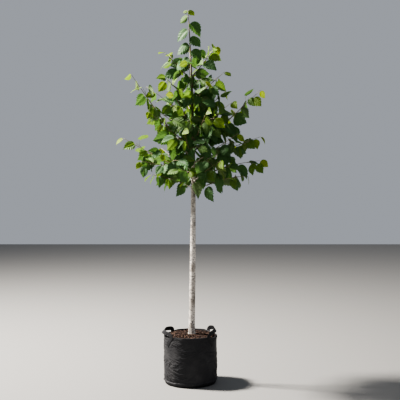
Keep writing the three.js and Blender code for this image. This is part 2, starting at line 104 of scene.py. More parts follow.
def polar(radius: Array, angle: Array, z: Array) -> Array:
    """Points by their distance from the upright axis, their angle round it and their height."""
    parts = np.broadcast_arrays(radius * np.cos(angle), radius * np.sin(angle), z)
    return np.stack(parts, axis=-1)


def grid_uv(across: Array, along: Array) -> Array:
    """The UV of a grid: one value across for each column and one along for each row."""
    return np.stack(np.broadcast_arrays(across[None], along[:, None]), axis=-1)


def grid_faces(rows: int, cols: int, closed: bool) -> tuple[Array, Array]:
    """Four-sided faces over a grid of points.

    Args:
        rows: Number of rows of points.
        cols: Points in a row.
        closed: True if the last column joins the first.

    Returns:
        Corner numbers of each face, and the same corners counted in a grid that has one more column
        when closed, for reading their UVs.
    """
    across = cols if closed else cols - 1
    row, col = np.meshgrid(np.arange(rows - 1), np.arange(across), indexing="ij")
    row, col = row.ravel(), col.ravel()
    after = (col + 1) % cols
    corners = np.stack([row * cols + col, row * cols + after,
                        (row + 1) * cols + after, (row + 1) * cols + col], axis=1)
    wide = cols + 1 if closed else cols
    marks = np.stack([row * wide + col, row * wide + col + 1,
                      (row + 1) * wide + col + 1, (row + 1) * wide + col], axis=1)
    return corners, marks


def grid_patch(points: Array, uv: Array, closed: bool) -> Patch:
    """A sheet or an open tube over a grid of points.

    Args:
        points: Rows by columns by three.
        uv: Rows by columns by two, with one more column when closed.
        closed: True if the last column joins the first.
    """
    rows, cols = points.shape[:2]
    corners, marks = grid_faces(rows, cols, closed)
    return Patch(points.reshape(-1, 3), [corners], [uv.reshape(-1, 2)[marks]])


def tube_patch(rings: Array, uv: Array) -> Patch:
    """A closed tube: a grid whose columns run round it, with a fan of triangles over each end.

    Args:
        rings: Rows by columns by three, counter-clockwise seen from ahead.
        uv: Rows by columns plus one by two.

    Returns:
        The closed tube.
    """
    patch = grid_patch(rings, uv, True)
    rows, cols = rings.shape[:2]
    count = rows * cols
    ends = np.stack([rings[0].mean(axis=0), rings[-1].mean(axis=0)])
    here = np.arange(cols)
    after = (here + 1) % cols
    foot = np.stack([after, here, np.full(cols, count)], axis=1)
    head = np.stack([here, after, np.full(cols, 1)], axis=1)
    head[:, :2] += (rows - 1) * cols
    head[:, 2] = count + 1
    marks = np.concatenate([foot, head]) % count
    flat = uv[:, :-1].reshape(-1, 2)
    return Patch(np.concatenate([patch.points, ends]), [patch.faces[0], np.concatenate([foot, head])],
                 [patch.uvs[0], flat[marks]])


def stamp(points: Array, faces: Array, uv: Array) -> Patch:
    """Many copies of one small shape: the same faces over each copy's own points.

    Args:
        points: Copies by points by three.
        faces: Corner numbers in one copy.
        uv: A UV for each corner of each face of one copy.

    Returns:
        All copies in one patch.
    """
    copies, count = points.shape[:2]
    shift = (np.arange(copies) * count)[:, None, None]
    return Patch(points.reshape(-1, 3), [(faces[None] + shift).reshape(-1, faces.shape[1])],
                 [np.tile(uv[None], (copies, 1, 1, 1)).reshape(-1, faces.shape[1], 2)])


def make_piece(name: str, patches: Sequence[Patch], finish: bpy.types.Material,
               replaced: Sequence[str] = (), smooth: bool = True) -> bpy.types.Object:
    """Joins patches into one mesh object at the origin, and says what it rides on and stands for.

    Args:
        name: The piece's name.
        patches: What it is made of.
        finish: Its material.
        replaced: CAD nodes that the piece stands for.
        smooth: False for a piece with flat faces.

    Returns:
        The object.
    """
    points = np.concatenate([patch.points for patch in patches])
    shifts = np.cumsum([0] + [len(patch.points) for patch in patches])
    faces = [array + shift for patch, shift in zip(patches, shifts) for array in patch.faces]
    uvs = np.concatenate([array.reshape(-1, 2) for patch in patches for array in patch.uvs])
    sizes = np.concatenate([np.full(len(array), array.shape[1]) for array in faces])
    corners = np.concatenate([array.ravel() for array in faces])
    starts = np.concatenate([[0], np.cumsum(sizes)[:-1]])
    mesh = bpy.data.meshes.new(name)
    mesh.vertices.add(len(points))
    mesh.vertices.foreach_set("co", points.astype(np.float32).ravel())
    mesh.loops.add(len(corners))
    mesh.loops.foreach_set("vertex_index", corners.astype(np.int32))
    mesh.polygons.add(len(sizes))
    mesh.polygons.foreach_set("loop_start", starts.astype(np.int32))
    mesh.polygons.foreach_set("use_smooth", np.full(len(sizes), smooth))
    mesh.uv_layers.new(name="UVMap").data.foreach_set("uv", uvs.astype(np.float32).ravel())
    mesh.update(calc_edges=True)
    mesh.validate()
    mesh.materials.append(finish)
    piece = bpy.data.objects.new(name, mesh)
    bpy.context.scene.collection.objects.link(piece)
    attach(piece, BODY)
    if replaced:
        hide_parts(*replaced)
    LOG.info("%s: %d points, %d faces", name, len(points), len(sizes))
    return piece


# ---- seeded numbers and relief


class Numbers:
    """Seeded numbers from 0 to 1, by a linear congruential rule in 32 bits."""

    FULL = 1 << 32

    def __init__(self, seed: int) -> None:
        """Starts the run of numbers from a seed."""
        self.state = (seed * 2654435761 + 12345) % self.FULL

    def draw(self) -> float:
        """The next number."""
        self.state = (self.state * 1664525 + 1013904223) % self.FULL
        return self.state / self.FULL

    def pick(self, span: Sequence[float]) -> float:
        """A number from a span, by the next seeded number."""
        return mix(span[0], span[1], self.draw())


class Relief:
    """Smooth noise from -1 to 1 over two parameters from 0 to 1. It joins up with itself across the first.

    Each corner of a lattice has a seeded height, and a point takes the smooth blend of the four
    corners round it.
    """

    def __init__(self, seed: int, across: int, along: int) -> None:
        """Draws the heights of a lattice with this many cells across and along."""
        self.across, self.along = across, along
        self.heights = np.random.default_rng(seed).uniform(-1.0, 1.0, (along + 2, across))

    def __call__(self, u: Array, v: Array) -> Array:
        """The noise at the parameters u and v.

        Args:
            u: From 0 to 1 across, and round again.
            v: From 0 to 1 along.

        Returns:
            Heights from -1 to 1.
        """
        x = np.mod(u, 1.0) * self.across
        y = np.clip(v, 0.0, 1.0) * self.along
        i, j = np.floor(x).astype(int), np.floor(y).astype(int)
        fx, fy = smooth_step(0.0, 1.0, x - i), smooth_step(0.0, 1.0, y - j)
        near, far = i % self.across, (i + 1) % self.across
        low = mix(self.heights[j, near], self.heights[j, far], fx)
        young_bark_and_painted_shade = mix(self.heights[j + 1, near], self.heights[j + 1, far], fx)
        return mix(low, young_bark_and_painted_shade, fy)


# ---- lines


class Line:
    """A run of points with the distance along it."""

    def __init__(self, points: Array) -> None:
        """Measures the distance along the points."""
        self.points = np.asarray(points, float)
        steps = np.linalg.norm(np.diff(self.points, axis=0), axis=1)
        self.along = np.concatenate([[0.0], np.cumsum(steps)])

    @property
    def size(self) -> float:
        """The length of the whole line."""
        return float(self.along[-1])

    def at(self, distance: Array) -> Array:
        """The point at a distance along the line, or one row for each of several distances."""
        return np.stack([np.interp(distance, self.along, self.points[:, k]) for k in range(3)], axis=-1)

    def heading(self, distance: Array, reach: float = 0.5 * MM) -> Array:
        """The unit direction of the line at a distance along it."""
        back = np.minimum(distance, self.size - reach)
        return unit(self.at(back + reach) - self.at(back))

    def part(self, start: float, end: float) -> "Line":
        """The stretch of the line between two distances."""
        inner = self.points[(self.along > start) & (self.along < end)]
        return Line(np.concatenate([self.at([start]), inner, self.at([end])]))

    def softened(self, step: float, reach: int) -> "Line":
        """The line in short even steps, with its corners rounded by a mean over neighbours.

        Args:
            step: Length of a step.
            reach: How many neighbours on each side the mean takes in; fewer near the ends.

        Returns:
            A new line with the same ends.
        """
        count = max(4, int(self.size / step))
        points = self.at(np.linspace(0.0, self.size, count + 1))
        total = np.cumsum(np.concatenate([np.zeros((1, 3)), points]), axis=0)
        here = np.arange(count + 1)
        room = np.minimum(np.minimum(here, count - here), reach)
        return Line((total[here + room + 1] - total[here - room]) / (2 * room + 1)[:, None])


def sides_of(tangents: Array) -> tuple[Array, Array]:
    """Two unit directions across each tangent, chosen level where the tangent isn't upright."""
    aside = np.where(np.abs(tangents[..., 2:3]) > 0.9, np.array([1.0, 0.0, 0.0]), UP)
    across = unit(np.cross(aside, tangents))
    return across, np.cross(tangents, across)


def limb_patch(line: Line, radii: Array, sides: int, swell: Optional[Array] = None) -> Patch:
    """A tapering round limb: a circle of each radius carried along a line, square to it.

    Args:
        line: The middle of the limb.
        radii: A radius for each point of the line.
        sides: Number of sides of a ring.
        swell: Rows by sides, a share added to the radius for relief.

    Returns:
        The closed limb.
    """
    tangents = unit(np.gradient(line.points, axis=0))
    across, over = sides_of(tangents)
    angle = round_angles(sides)
    radius = radii[:, None] * (1.0 if swell is None else 1.0 + swell)
    rings = (line.points[:, None]
             + across[:, None] * (np.cos(angle) * radius)[..., None]
             + over[:, None] * (np.sin(angle) * radius)[..., None])
    return tube_patch(rings, grid_uv(np.linspace(0.0, 1.0, sides + 1), line.along))


def curve_through(stations: Array, shares: Array) -> Array:
    """Points on a centripetal Catmull-Rom curve through stations.

    Each span is a cubic between two stations. Its end slopes come from the stations on both sides,
    weighted by the square roots of their distances, and the ends are carried on straight.

    Args:
        stations: One row for each station.
        shares: From 0 at the first station to 1 at the last, evenly by station.

    Returns:
        One point for each share.
    """
    ends = [2 * stations[:1] - stations[1:2], stations, 2 * stations[-1:] - stations[-2:-1]]
    padded = np.concatenate(ends)
    place = np.clip(shares, 0.0, 1.0) * (len(stations) - 1)
    i = np.minimum(place.astype(int), len(stations) - 2)
    t = (place - i)[:, None]
    p0, p1, p2, p3 = (padded[i + k] for k in range(4))
    d0, d1, d2 = (np.maximum(np.sqrt(np.linalg.norm(b - a, axis=1, keepdims=True)), 1e-4)
                  for a, b in ((p0, p1), (p1, p2), (p2, p3)))
    slope1 = ((p1 - p0) / d0 - (p2 - p0) / (d0 + d1) + (p2 - p1) / d1) * d1
    slope2 = ((p2 - p1) / d1 - (p3 - p1) / (d1 + d2) + (p3 - p2) / d2) * d1
    return ((2 * t**3 - 3 * t**2 + 1) * p1 + (t**3 - 2 * t**2 + t) * slope1
            + (3 * t**2 - 2 * t**3) * p2 + (t**3 - t**2) * slope2)


# ---- shader nodes


class Graph:
    """Places and links the nodes of one shader tree."""

    def __init__(self, tree: bpy.types.NodeTree) -> None:
        """Starts on an empty tree."""
        self.tree = tree

    def add(self, kind: str, inputs: Optional[dict[Union[int, str], Feed]] = None,
            **settings: object) -> bpy.types.Node:
        """Adds a node.

        Args:
            kind: Its type without the leading ShaderNode.
            inputs: What feeds each input: a socket to link, or a plain value.
            settings: Properties of the node.

        Returns:
            The node.
        """
        node = self.tree.nodes.new("ShaderNode" + kind)
        for name, value in settings.items():
            setattr(node, name, value)
        for key, feed in (inputs or {}).items():
            if isinstance(feed, bpy.types.NodeSocket):
                self.tree.links.new(feed, node.inputs[key])
            else:
                node.inputs[key].default_value = feed
        return node

    def effect(self, group: bpy.types.NodeTree, **inputs: float) -> bpy.types.Node:
        """Places a shared group with its values, given by input names with underscores for spaces.

        Args:
            group: The shared group.
            inputs: Its values.

        Returns:
            Its node.
        """
        node = self.tree.nodes.new("ShaderNodeGroup")
        node.node_tree = group
        for name, value in inputs.items():
            node.inputs[name.replace("_", " ")].default_value = value
        return node

    def math(self, operation: str, a: Feed, b: Feed = 0.5, c: Feed = 0.5) -> Socket:
        """The result of a sum on up to three numbers."""
        return self.add("Math", {0: a, 1: b, 2: c}, operation=operation).outputs[0]

    def span(self, value: Feed, low: float, young_bark_and_painted_shade: float, to_low: float = 0.0,
             to_high: float = 1.0) -> Socket:
        """A value carried smoothly from one range to another."""
        node = self.add("MapRange", {0: value, 1: low, 2: young_bark_and_painted_shade, 3: to_low, 4: to_high},
                        interpolation_type="SMOOTHSTEP")
        return node.outputs[0]

    def blend(self, share: Feed, a: Feed, b: Feed) -> Socket:
        """A colour that lies a share of the way from a to b."""
        return self.add("Mix", {0: share, 6: a, 7: b}, data_type="RGBA").outputs[2]

    def fade(self, value: Feed, low: float, young_bark_and_painted_shade: float, a: Feed, b: Feed, most: float = 1.0) -> Socket:
        """Colour a where a value is below low, with b over it, at most by a share, above high."""
        return self.blend(self.span(value, low, young_bark_and_painted_shade, 0.0, most), a, b)

    def stretched(self, source: Socket, scale: Sequence[float]) -> Socket:
        """Coordinates stretched by a factor on each axis."""
        return self.add("Mapping", {"Vector": source, "Scale": scale}).outputs[0]

    def noise(self, place: Socket, scale: Feed, detail: float = 2.0, roughness: float = 0.5) -> Socket:
        """Noise from about 0 to 1 at a place."""
        return self.add("TexNoise", {"Vector": place, "Scale": scale, "Detail": detail,
                                     "Roughness": roughness}).outputs["Fac"]

    def bump(self, height: Socket, strength: Feed, distance: float,
             normal: Optional[Socket] = None) -> Socket:
        """A normal tilted by a height.

        Args:
            height: What the normal follows.
            strength: From 0 to 1.
            distance: What a height of 1 stands for, in metres.
            normal: A normal to tilt in place of the surface's own.

        Returns:
            The tilted normal.
        """
        inputs: dict[Union[int, str], Feed] = {"Height": height, "Strength": strength, "Distance": distance}
        if normal is not None:
            inputs["Normal"] = normal
        return self.add("Bump", inputs).outputs[0]

    def principled(self, colour: Feed, normal: Socket, roughness: Feed, gloss: float = 0.5) -> Socket:
        """A plain opaque surface.

        Args:
            colour: Its base colour.
            normal: Its normal.
            roughness: From 0 to 1.
            gloss: How strongly it shines, 0.5 as glass does.

        Returns:
            The shader.
        """
        return self.add("BsdfPrincipled", {"Base Color": colour, "Normal": normal, "Roughness": roughness,
                                           "Specular IOR Level": gloss}).outputs[0]

    def give(self, leave: bpy.types.Node, **outputs: Socket) -> bpy.types.NodeTree:
        """Links what a group gives to its output node, and returns the group."""
        for name, socket in outputs.items():
            self.tree.links.new(socket, leave.inputs[name])
        return self.tree


FLOAT, VECTOR = "NodeSocketFloat", "NodeSocketVector"


def new_group(name: str, inputs: dict[str, float],
              outputs: dict[str, str]) -> tuple[Graph, dict[str, Socket], bpy.types.Node]:
    """An empty shader node group with its sockets.

    Args:
        name: The group's name.
        inputs: Its number inputs and their default values.
        outputs: Its outputs and their socket types.

    Returns:
        A graph for its inside, the sockets that bring its inputs in, and its output node.
    """
    tree = bpy.data.node_groups.new(name, "ShaderNodeTree")
    for socket, value in inputs.items():
        entry = tree.interface.new_socket(socket, in_out="INPUT", socket_type=FLOAT)
        entry.default_value = value
    for socket, kind in outputs.items():
        tree.interface.new_socket(socket, in_out="OUTPUT", socket_type=kind)
    enter = tree.nodes.new("NodeGroupInput")
    leave = tree.nodes.new("NodeGroupOutput")
    return Graph(tree), {socket: enter.outputs[socket] for socket in inputs}, leave


class Effects:
    """The shader node groups that several finishes share, each built once."""

    def __init__(self) -> None:
        """Builds every group."""
        self.grain = self._grain()
        self.weave = self._weave()
        self.veins = self._veins()

    @staticmethod
    def _grain() -> bpy.types.NodeTree:
        """Blotches and fine grain by noise in Object coordinates, and a normal from the grain.

        Returns:
            The group.
        """
        graph, inside, leave = new_group(
            "grain", {"Blotch Size": 20.0, "Grain Size": 400.0, "Depth": 0.3},
            {"Blotch": FLOAT, "Grain": FLOAT, "Normal": VECTOR})
        place = graph.add("TexCoord").outputs["Object"]
        blotch = graph.noise(place, inside["Blotch Size"], 3.0)
        grain = graph.noise(place, inside["Grain Size"], 3.0)
        normal = graph.bump(grain, inside["Depth"], 0.6 * MM)
        return graph.give(leave, Blotch=blotch, Grain=grain, Normal=normal)

    @staticmethod
    def _weave() -> bpy.types.NodeTree:
        """Threads over and under each other, from a UV in metres: one sine wave across times one along.

        Returns:
            The group.
        """
        graph, inside, leave = new_group(
            "weave", {"Threads Across": 900.0, "Threads Along": 900.0, "Depth": 0.5},
            {"Thread": FLOAT, "Normal": VECTOR})
        uv = graph.add("SeparateXYZ", {0: graph.add("UVMap").outputs[0]})
        waves = []
        for axis, count in enumerate(("Threads Across", "Threads Along")):
            pitch = graph.math("MULTIPLY", inside[count], math.pi)
            waves.append(graph.math("SINE", graph.math("MULTIPLY", uv.outputs[axis], pitch)))
        thread = graph.math("MULTIPLY_ADD", graph.math("MULTIPLY", *waves), 0.5, 0.5)
        return graph.give(leave, Thread=thread, Normal=graph.bump(thread, inside["Depth"], 0.5 * MM))

    @staticmethod
    def _veins() -> bpy.types.NodeTree:
        """The midrib and the side veins of a blade, from its UV: across from 0 to 1 and along by vein.

        Returns:
            The group.
        """
        graph, inside, leave = new_group("veins", {"Pairs": 8.0, "Depth": 0.4},
                                         {"Vein": FLOAT, "Normal": VECTOR})
        uv = graph.add("SeparateXYZ", {0: graph.add("UVMap").outputs[0]})
        place = graph.math("MULTIPLY", uv.outputs[1], inside["Pairs"])
        phase = graph.math("FRACT", graph.math("ADD", place, 0.5))
        beside = graph.math("ABSOLUTE", graph.math("SUBTRACT", phase, 0.5))
        across = graph.math("ABSOLUTE", graph.math("SUBTRACT", uv.outputs[0], 0.5))
        side = graph.span(beside, 0.03, 0.13, 1.0, 0.0)
        middle = graph.span(across, 0.01, 0.035, 1.0, 0.0)
        vein = graph.math("MAXIMUM", side, middle)
        normal = graph.bump(graph.math("SUBTRACT", 1.0, vein), inside["Depth"], 0.5 * MM)
        return graph.give(leave, Vein=vein, Normal=normal)


# ---- finishes


def new_material(name: str) -> tuple[bpy.types.Material, Graph]:
    """A material with an empty node tree, and the graph to fill it.

    Args:
        name: The material's name.

    Returns:
        The material and its graph.
    """
    material = bpy.data.materials.new(name)
    material.use_nodes = True
    material.node_tree.nodes.clear()
    return material, Graph(material.node_tree)


Colour = tuple[float, float, float, float]


def tint(red: int, green: int, blue: int) -> Colour:
    """A linear colour from 0 to 255 screen values."""
    linear = [((part / 255.0 + 0.055) / 1.055) ** 2.4 if part > 10 else part / 255.0 / 12.92
              for part in (red, green, blue)]
    return (linear[0], linear[1], linear[2], 1.0)


class Finish:
    """The look of one surface. Each kind of finish adds its own shader."""

    def shader(self, graph: Graph, effects: Effects) -> Socket:
        """Adds the finish's nodes, and returns the shader that they end in.

        Args:
            graph: Where the nodes go.
            effects: The shared groups.

        Returns:
            The shader.
        """
        raise NotImplementedError

    def material(self, name: str, effects: Effects) -> bpy.types.Material:
        """Builds the material under a name.

        Args:
            name: The material's name.
            effects: The shared groups.

        Returns:
            The material.
        """
        material, graph = new_material(name)
        graph.add("OutputMaterial", {"Surface": self.shader(graph, effects)})
        return material


@dataclass(frozen=True)
class BarkFinish(Finish):
    """Smooth grey bark with short dark marks that lie across the stem, browner and darker from one height to
    another: younger bark, with painted shade where the crown hangs over it.
    """

    pale: Colour = tint(236, 228, 218)
    shade: Colour = tint(150, 141, 131)
    # Browner, darker bark from the crown's height up: younger bark, and painted shade under the leaves.
    young_bark_and_painted_shade: Colour = tint(104, 88, 68)
    mark: Colour = tint(34, 30, 28)
    turns: tuple[float, float] = (1.35, 1.95)
    dashes: tuple[float, float, float] = (60.0, 60.0, 360.0)
    patches: tuple[float, float, float] = (42.0, 42.0, 130.0)
    roughness: float = 0.62

    def shader(self, graph: Graph, effects: Effects) -> Socket:
        """Pale bark under blotches, grain, the brown of younger bark with painted shade in the crown, dark
        patches and dashes.

        Args:
            graph: Where the nodes go.
            effects: The shared groups.

        Returns:
            The shader.
        """
        place = graph.add("TexCoord").outputs["Object"]
        grain = graph.effect(effects.grain, Blotch_Size=14.0, Grain_Size=520.0, Depth=0.35)
        dash = graph.noise(graph.stretched(place, self.dashes), 1.0, 1.0, 0.4)
        mark = graph.span(dash, 0.59, 0.64)
        broad = graph.span(graph.noise(graph.stretched(place, self.patches), 1.0), 0.56, 0.64)
        colour = graph.fade(grain.outputs["Blotch"], 0.35, 0.68, self.pale, self.shade)
        colour = graph.blend(graph.math("MULTIPLY", grain.outputs["Grain"], 0.25), colour, self.shade)
        height = graph.add("SeparateXYZ", {0: place}).outputs["Z"]
        # Browner and darker above the clear stem: younger bark, and painted shade where the crown hangs over
        # the trunk.
        colour = graph.fade(height, *self.turns, colour, self.young_bark_and_painted_shade)
        colour = graph.blend(graph.math("MULTIPLY", broad, 0.72), colour, self.mark)
        colour = graph.blend(graph.math("MULTIPLY", mark, 0.92), colour, self.mark)
        relief = graph.math("MULTIPLY_ADD", mark, 1.0, graph.math("MULTIPLY", dash, 0.5))
        normal = graph.bump(relief, 0.5, 0.8 * MM, grain.outputs["Normal"])
        return graph.principled(colour, normal, self.roughness)


@dataclass(frozen=True)
class SpeckledFinish(Finish):
    """Two colours in blotches, with specks of a third by the grain.

    Attributes:
        speck: The colour of the specks, or None for that of the shade.
        shaded: How much the shade covers.
        specks: Where in the grain the specks start and are full, and how much they cover.
        grain: Size of the blotches, size of the grain, and depth of its relief.
    """

    colour: Colour
    shade: Colour
    speck: Optional[Colour] = None
    shaded: float = 1.0
    specks: tuple[float, float, float] = (0.4, 0.7, 0.5)
    grain: tuple[float, float, float] = (60.0, 420.0, 0.9)
    roughness: float = 0.8
    gloss: float = 0.12

    def shader(self, graph: Graph, effects: Effects) -> Socket:
        """The colour under its shade and specks.

        Args:
            graph: Where the nodes go.
            effects: The shared groups.

        Returns:
            The shader.
        """
        blotch, fine, depth = self.grain
        grain = graph.effect(effects.grain, Blotch_Size=blotch, Grain_Size=fine, Depth=depth)
        low, young_bark_and_painted_shade, most = self.specks
        colour = graph.fade(grain.outputs["Blotch"], 0.35, 0.65, self.colour, self.shade, self.shaded)
        colour = graph.fade(grain.outputs["Grain"], low, young_bark_and_painted_shade, colour, self.speck or self.shade, most)
        return graph.principled(colour, grain.outputs["Normal"], self.roughness, self.gloss)


SHOOT_BARK = SpeckledFinish(tint(104, 96, 56), tint(92, 72, 54), tint(150, 132, 108), 1.0, (0.6, 0.75, 0.5),
                            (18.0, 700.0, 0.3), 0.5, 0.5)
LEAF_STALK = SpeckledFinish(tint(126, 138, 66), tint(132, 92, 62), None, 0.6, (0.4, 0.7, 0.0),
                            (30.0, 900.0, 0.1), 0.45, 0.5)
COMPOST_BED = SpeckledFinish(tint(30, 20, 16), tint(13, 9, 8), roughness=0.9)

# The finish of each kind of chip by its name, and the share of the chips that it takes.
CHIP_KINDS = {
    "chips_red": (SpeckledFinish(tint(58, 41, 34), tint(36, 25, 21)), 0.46),
    "chips_dark": (SpeckledFinish(tint(34, 24, 19), tint(18, 13, 10)), 0.38),
    "chips_pale": (SpeckledFinish(tint(86, 68, 56), tint(56, 42, 34)), 0.16),
}


class Tone(Enum):
    """The four greens of the foliage."""

    DEEP = "deep"
    MIDDLE = "middle"
    BRIGHT = "bright"
    YOUNG = "young"


@dataclass(frozen=True)
class LeafFinish(Finish):
    """A leaf blade: satin above, paler and duller below, and it lets a clear share of the light through."""

    upper: Colour
    lower: Colour
    through: Colour
    clear: float
    roughness: float = 0.58
    duller: float = 0.2
    gloss: float = 0.15
    dark: float = 0.55

    def shader(self, graph: Graph, effects: Effects) -> Socket:
        """A surface with darker blotches and paler veins, mixed with light that comes through it.

        Args:
            graph: Where the nodes go.
            effects: The shared groups.

        Returns:
            The shader.
        """
        veins = graph.effect(effects.veins, Pairs=9.0, Depth=0.45)
        behind = graph.add("NewGeometry").outputs["Backfacing"]
        grain = graph.effect(effects.grain, Blotch_Size=9.0, Grain_Size=500.0, Depth=0.12)
        shade = tuple(self.dark * part for part in self.upper[:3]) + (1.0,)
        colour = graph.blend(behind, self.upper, self.lower)
        colour = graph.fade(grain.outputs["Blotch"], 0.3, 0.7, colour, shade, 0.28)
        colour = graph.blend(graph.math("MULTIPLY", veins.outputs["Vein"], 0.30), colour, self.lower)
        rough = graph.math("MULTIPLY_ADD", behind, self.duller, self.roughness)
        face = graph.principled(colour, veins.outputs["Normal"], rough, self.gloss)
        vein = graph.math("MULTIPLY", veins.outputs["Vein"], 0.4)
        light = graph.add("BsdfTranslucent", {"Color": graph.blend(vein, self.through, self.upper)})
        return graph.add("MixShader", {0: self.clear, 1: face, 2: light.outputs[0]}).outputs[0]


# The share of the leaves that is darker than the second, the third and the fourth green.
TONE_SHARES = (0.62, 0.90, 0.97)

LEAF_FINISHES = {
    Tone.DEEP: LeafFinish(tint(66, 97, 60), tint(94, 113, 74), tint(96, 134, 58), 0.24),
    Tone.MIDDLE: LeafFinish(tint(79, 107, 54), tint(103, 121, 68), tint(114, 147, 50), 0.27),
    Tone.BRIGHT: LeafFinish(tint(94, 120, 44), tint(112, 130, 58), tint(130, 157, 42), 0.30),
    Tone.YOUNG: LeafFinish(tint(110, 131, 36), tint(120, 137, 50), tint(148, 167, 40), 0.33),
}


@dataclass(frozen=True)
class ClothFinish(Finish):
    """Black cloth with a fine weave, a satin face and a little dust."""

    colour: Colour = tint(48, 48, 50)
    dust: Colour = tint(104, 103, 103)
    roughness: float = 0.55
    threads: float = 560.0
    dusty: float = 0.16
    gloss: float = 0.10
    gap: Colour = tint(13, 13, 15)

    def shader(self, graph: Graph, effects: Effects) -> Socket:
        """Cloth with dust by blotches and darker gaps between the threads.

        Args:
            graph: Where the nodes go.
            effects: The shared groups.

        Returns:
            The shader.
        """
        weave = graph.effect(effects.weave, Threads_Across=self.threads, Threads_Along=self.threads,
                             Depth=0.35)
        grain = graph.effect(effects.grain, Blotch_Size=11.0, Grain_Size=260.0, Depth=0.25)
        blotch = grain.outputs["Blotch"]
        dusty = graph.math("MULTIPLY", graph.span(blotch, 0.42, 0.75), self.dusty)
        colour = graph.blend(dusty, self.colour, self.dust)
        colour = graph.blend(graph.math("MULTIPLY", weave.outputs["Thread"], 0.3), colour, self.gap)
        rough = graph.span(blotch, 0.3, 0.75, self.roughness - 0.06, self.roughness + 0.14)
        both = graph.add("VectorMath", {0: weave.outputs["Normal"], 1: grain.outputs["Normal"]},
                         operation="ADD")
        normal = graph.add("VectorMath", {0: both.outputs[0]}, operation="NORMALIZE")
        return graph.principled(colour, normal.outputs[0], rough, self.gloss)


BAG_CLOTH = ClothFinish()
WEBBING = ClothFinish(tint(22, 22, 25), tint(70, 70, 74), 0.6, 1100.0, 0.16, 0.25)
THREAD = ClothFinish(tint(34, 34, 38), tint(90, 88, 86), 0.5, 3000.0, 0.1)


# ---- trunk and shoots


@dataclass(frozen=True)
class StemForm:
    """The middle line and the girth of the stem, by height above the compost."""

    foot: tuple[float, float, float]
    height: float = 2.452
    lean: float = 0.042
    bow: float = 0.069
    sway: float = 0.008
    foot_radius: float = 0.0215
    tip_radius: float = 0.0015
    taper: float = 1.5
    flare: float = 0.006
    flare_fade: float = 0.035
    trunk_top: float = 2.096
    bark: float = 0.0021

    def middle(self, height: Array) -> Array:
        """With u the share of the height, x is lean u - bow u^3 and y is sway sin(pi u).

        Args:
            height: Heights above the compost.

        Returns:
            One point for each height.
        """
        height = np.asarray(height, float)
        u = np.clip(height / self.height, 0.0, 1.0)
        return np.stack([self.foot[0] + self.lean * u - self.bow * u**3,
                         self.foot[1] + self.sway * np.sin(math.pi * u),
                         self.foot[2] + height], axis=-1)

    def radius(self, height: Array) -> Array:
        """From the foot radius to the tip radius as 1 - u^taper, and a flare that fades upwards.

        Args:
            height: Heights above the compost.

        Returns:
            One radius for each height.
        """
        height = np.asarray(height, float)
        u = np.clip(height / self.height, 0.0, 1.0)
        plain = self.tip_radius + (self.foot_radius - self.tip_radius) * (1.0 - u**self.taper)
        return plain + self.flare * np.exp(-np.maximum(height, 0.0) / self.flare_fade)


# Height on the stem, bearing in degrees, reach, height of the tip, bow, and bare length; in
# millimetres from the trunk's foot.
SHOOT_TABLE = (
    (1080, 350, 430, 1196, 0.25, 110), (1104, 208, 330, 1205, 0.2, 90), (1120, 268, 330, 1225, 0.2, 90),
    (1136, 82, 410, 1310, 0.1, 110), (1154, 302, 400, 1300, 0.1, 110), (1166, 8, 525, 1318, 0.2, 140),
    (1182, 196, 385, 1305, 0.2, 110), (1196, 240, 400, 1350, 0, 110), (1210, 170, 530, 1490, -0.05, 140),
    (1232, 126, 430, 1430, 0, 120), (1246, 42, 450, 1450, 0, 120), (1272, 352, 520, 1490, 0.1, 140),
    (1292, 322, 430, 1500, 0, 110), (1300, 262, 380, 1510, 0, 90), (1316, 180, 455, 1965, -0.06, 190),
    (1348, 100, 410, 1600, 0, 110), (1382, 3, 522, 1850, -0.03, 190), (1400, 217, 380, 1660, 0, 100),
    (1430, 290, 340, 1660, 0, 0), (1455, 60, 370, 1720, 0, 100), (1480, 150, 350, 1750, 0, 0),
    (1515, 335, 330, 1740, 0, 0), (1550, 245, 290, 1780, 0, 0), (1592, 186, 270, 1822, 0.1, 0),
    (1622, 28, 300, 1860, 0, 0), (1655, 108, 260, 1870, 0, 0), (1690, 298, 240, 1890, 0, 0),
    (1730, 212, 220, 1920, 0, 0), (1772, 356, 250, 1984, 0, 0), (1812, 90, 190, 1990, 0, 0),
    (1852, 262, 170, 2030, 0, 0), (1922, 180, 200, 2126, 0, 0), (1944, 4, 180, 2180, -0.1, 0),
    (2010, 100, 110, 2160, 0, 0),
)


@dataclass(frozen=True)
class LimbForm:
    """Sizes of limbs and shoots."""

    step: float = 0.075
    even: float = 0.008
    reach: int = 4
    base_radius: float = 0.0026
    girth: float = 0.005
    tip_radius: float = 0.0012
    collar: float = 0.45
    collar_fade: float = 0.014
    zigzag: float = 0.0016
    zigzag_from: float = 0.01
    rough: float = 0.09
    gap: float = 0.0003

    def course(self, start: Array, tip: Array, bow: float) -> Line:
        """A straight line bowed up by bow * length * s (1 - s), in stretches of about one step.

        Args:
            start: Its first point.
            tip: Its last point.
            bow: Four times its rise in the middle, as a share of its length.

        Returns:
            The line.
        """
        size = float(np.linalg.norm(tip - start))
        share = np.linspace(0.0, 1.0, max(2, math.floor(size / self.step + 0.5)) + 1)[:, None]
        points = mix(start, tip, share)
        points[:, 2:] += bow * size * share * (1.0 - share)
        return Line(points)

    def radius(self, along: Array, size: float) -> Array:
        """A plain taper from the trunk's middle to the tip, with a collar near the trunk.

        Args:
            along: Distances from the start.
            size: The length of the limb.

        Returns:
            One radius for each distance.
        """
        base = self.base_radius + self.girth * size
        plain = mix(base, self.tip_radius, np.minimum(along / size, 1.0))
        return plain * (1.0 + self.collar * np.exp(-along / self.collar_fade))


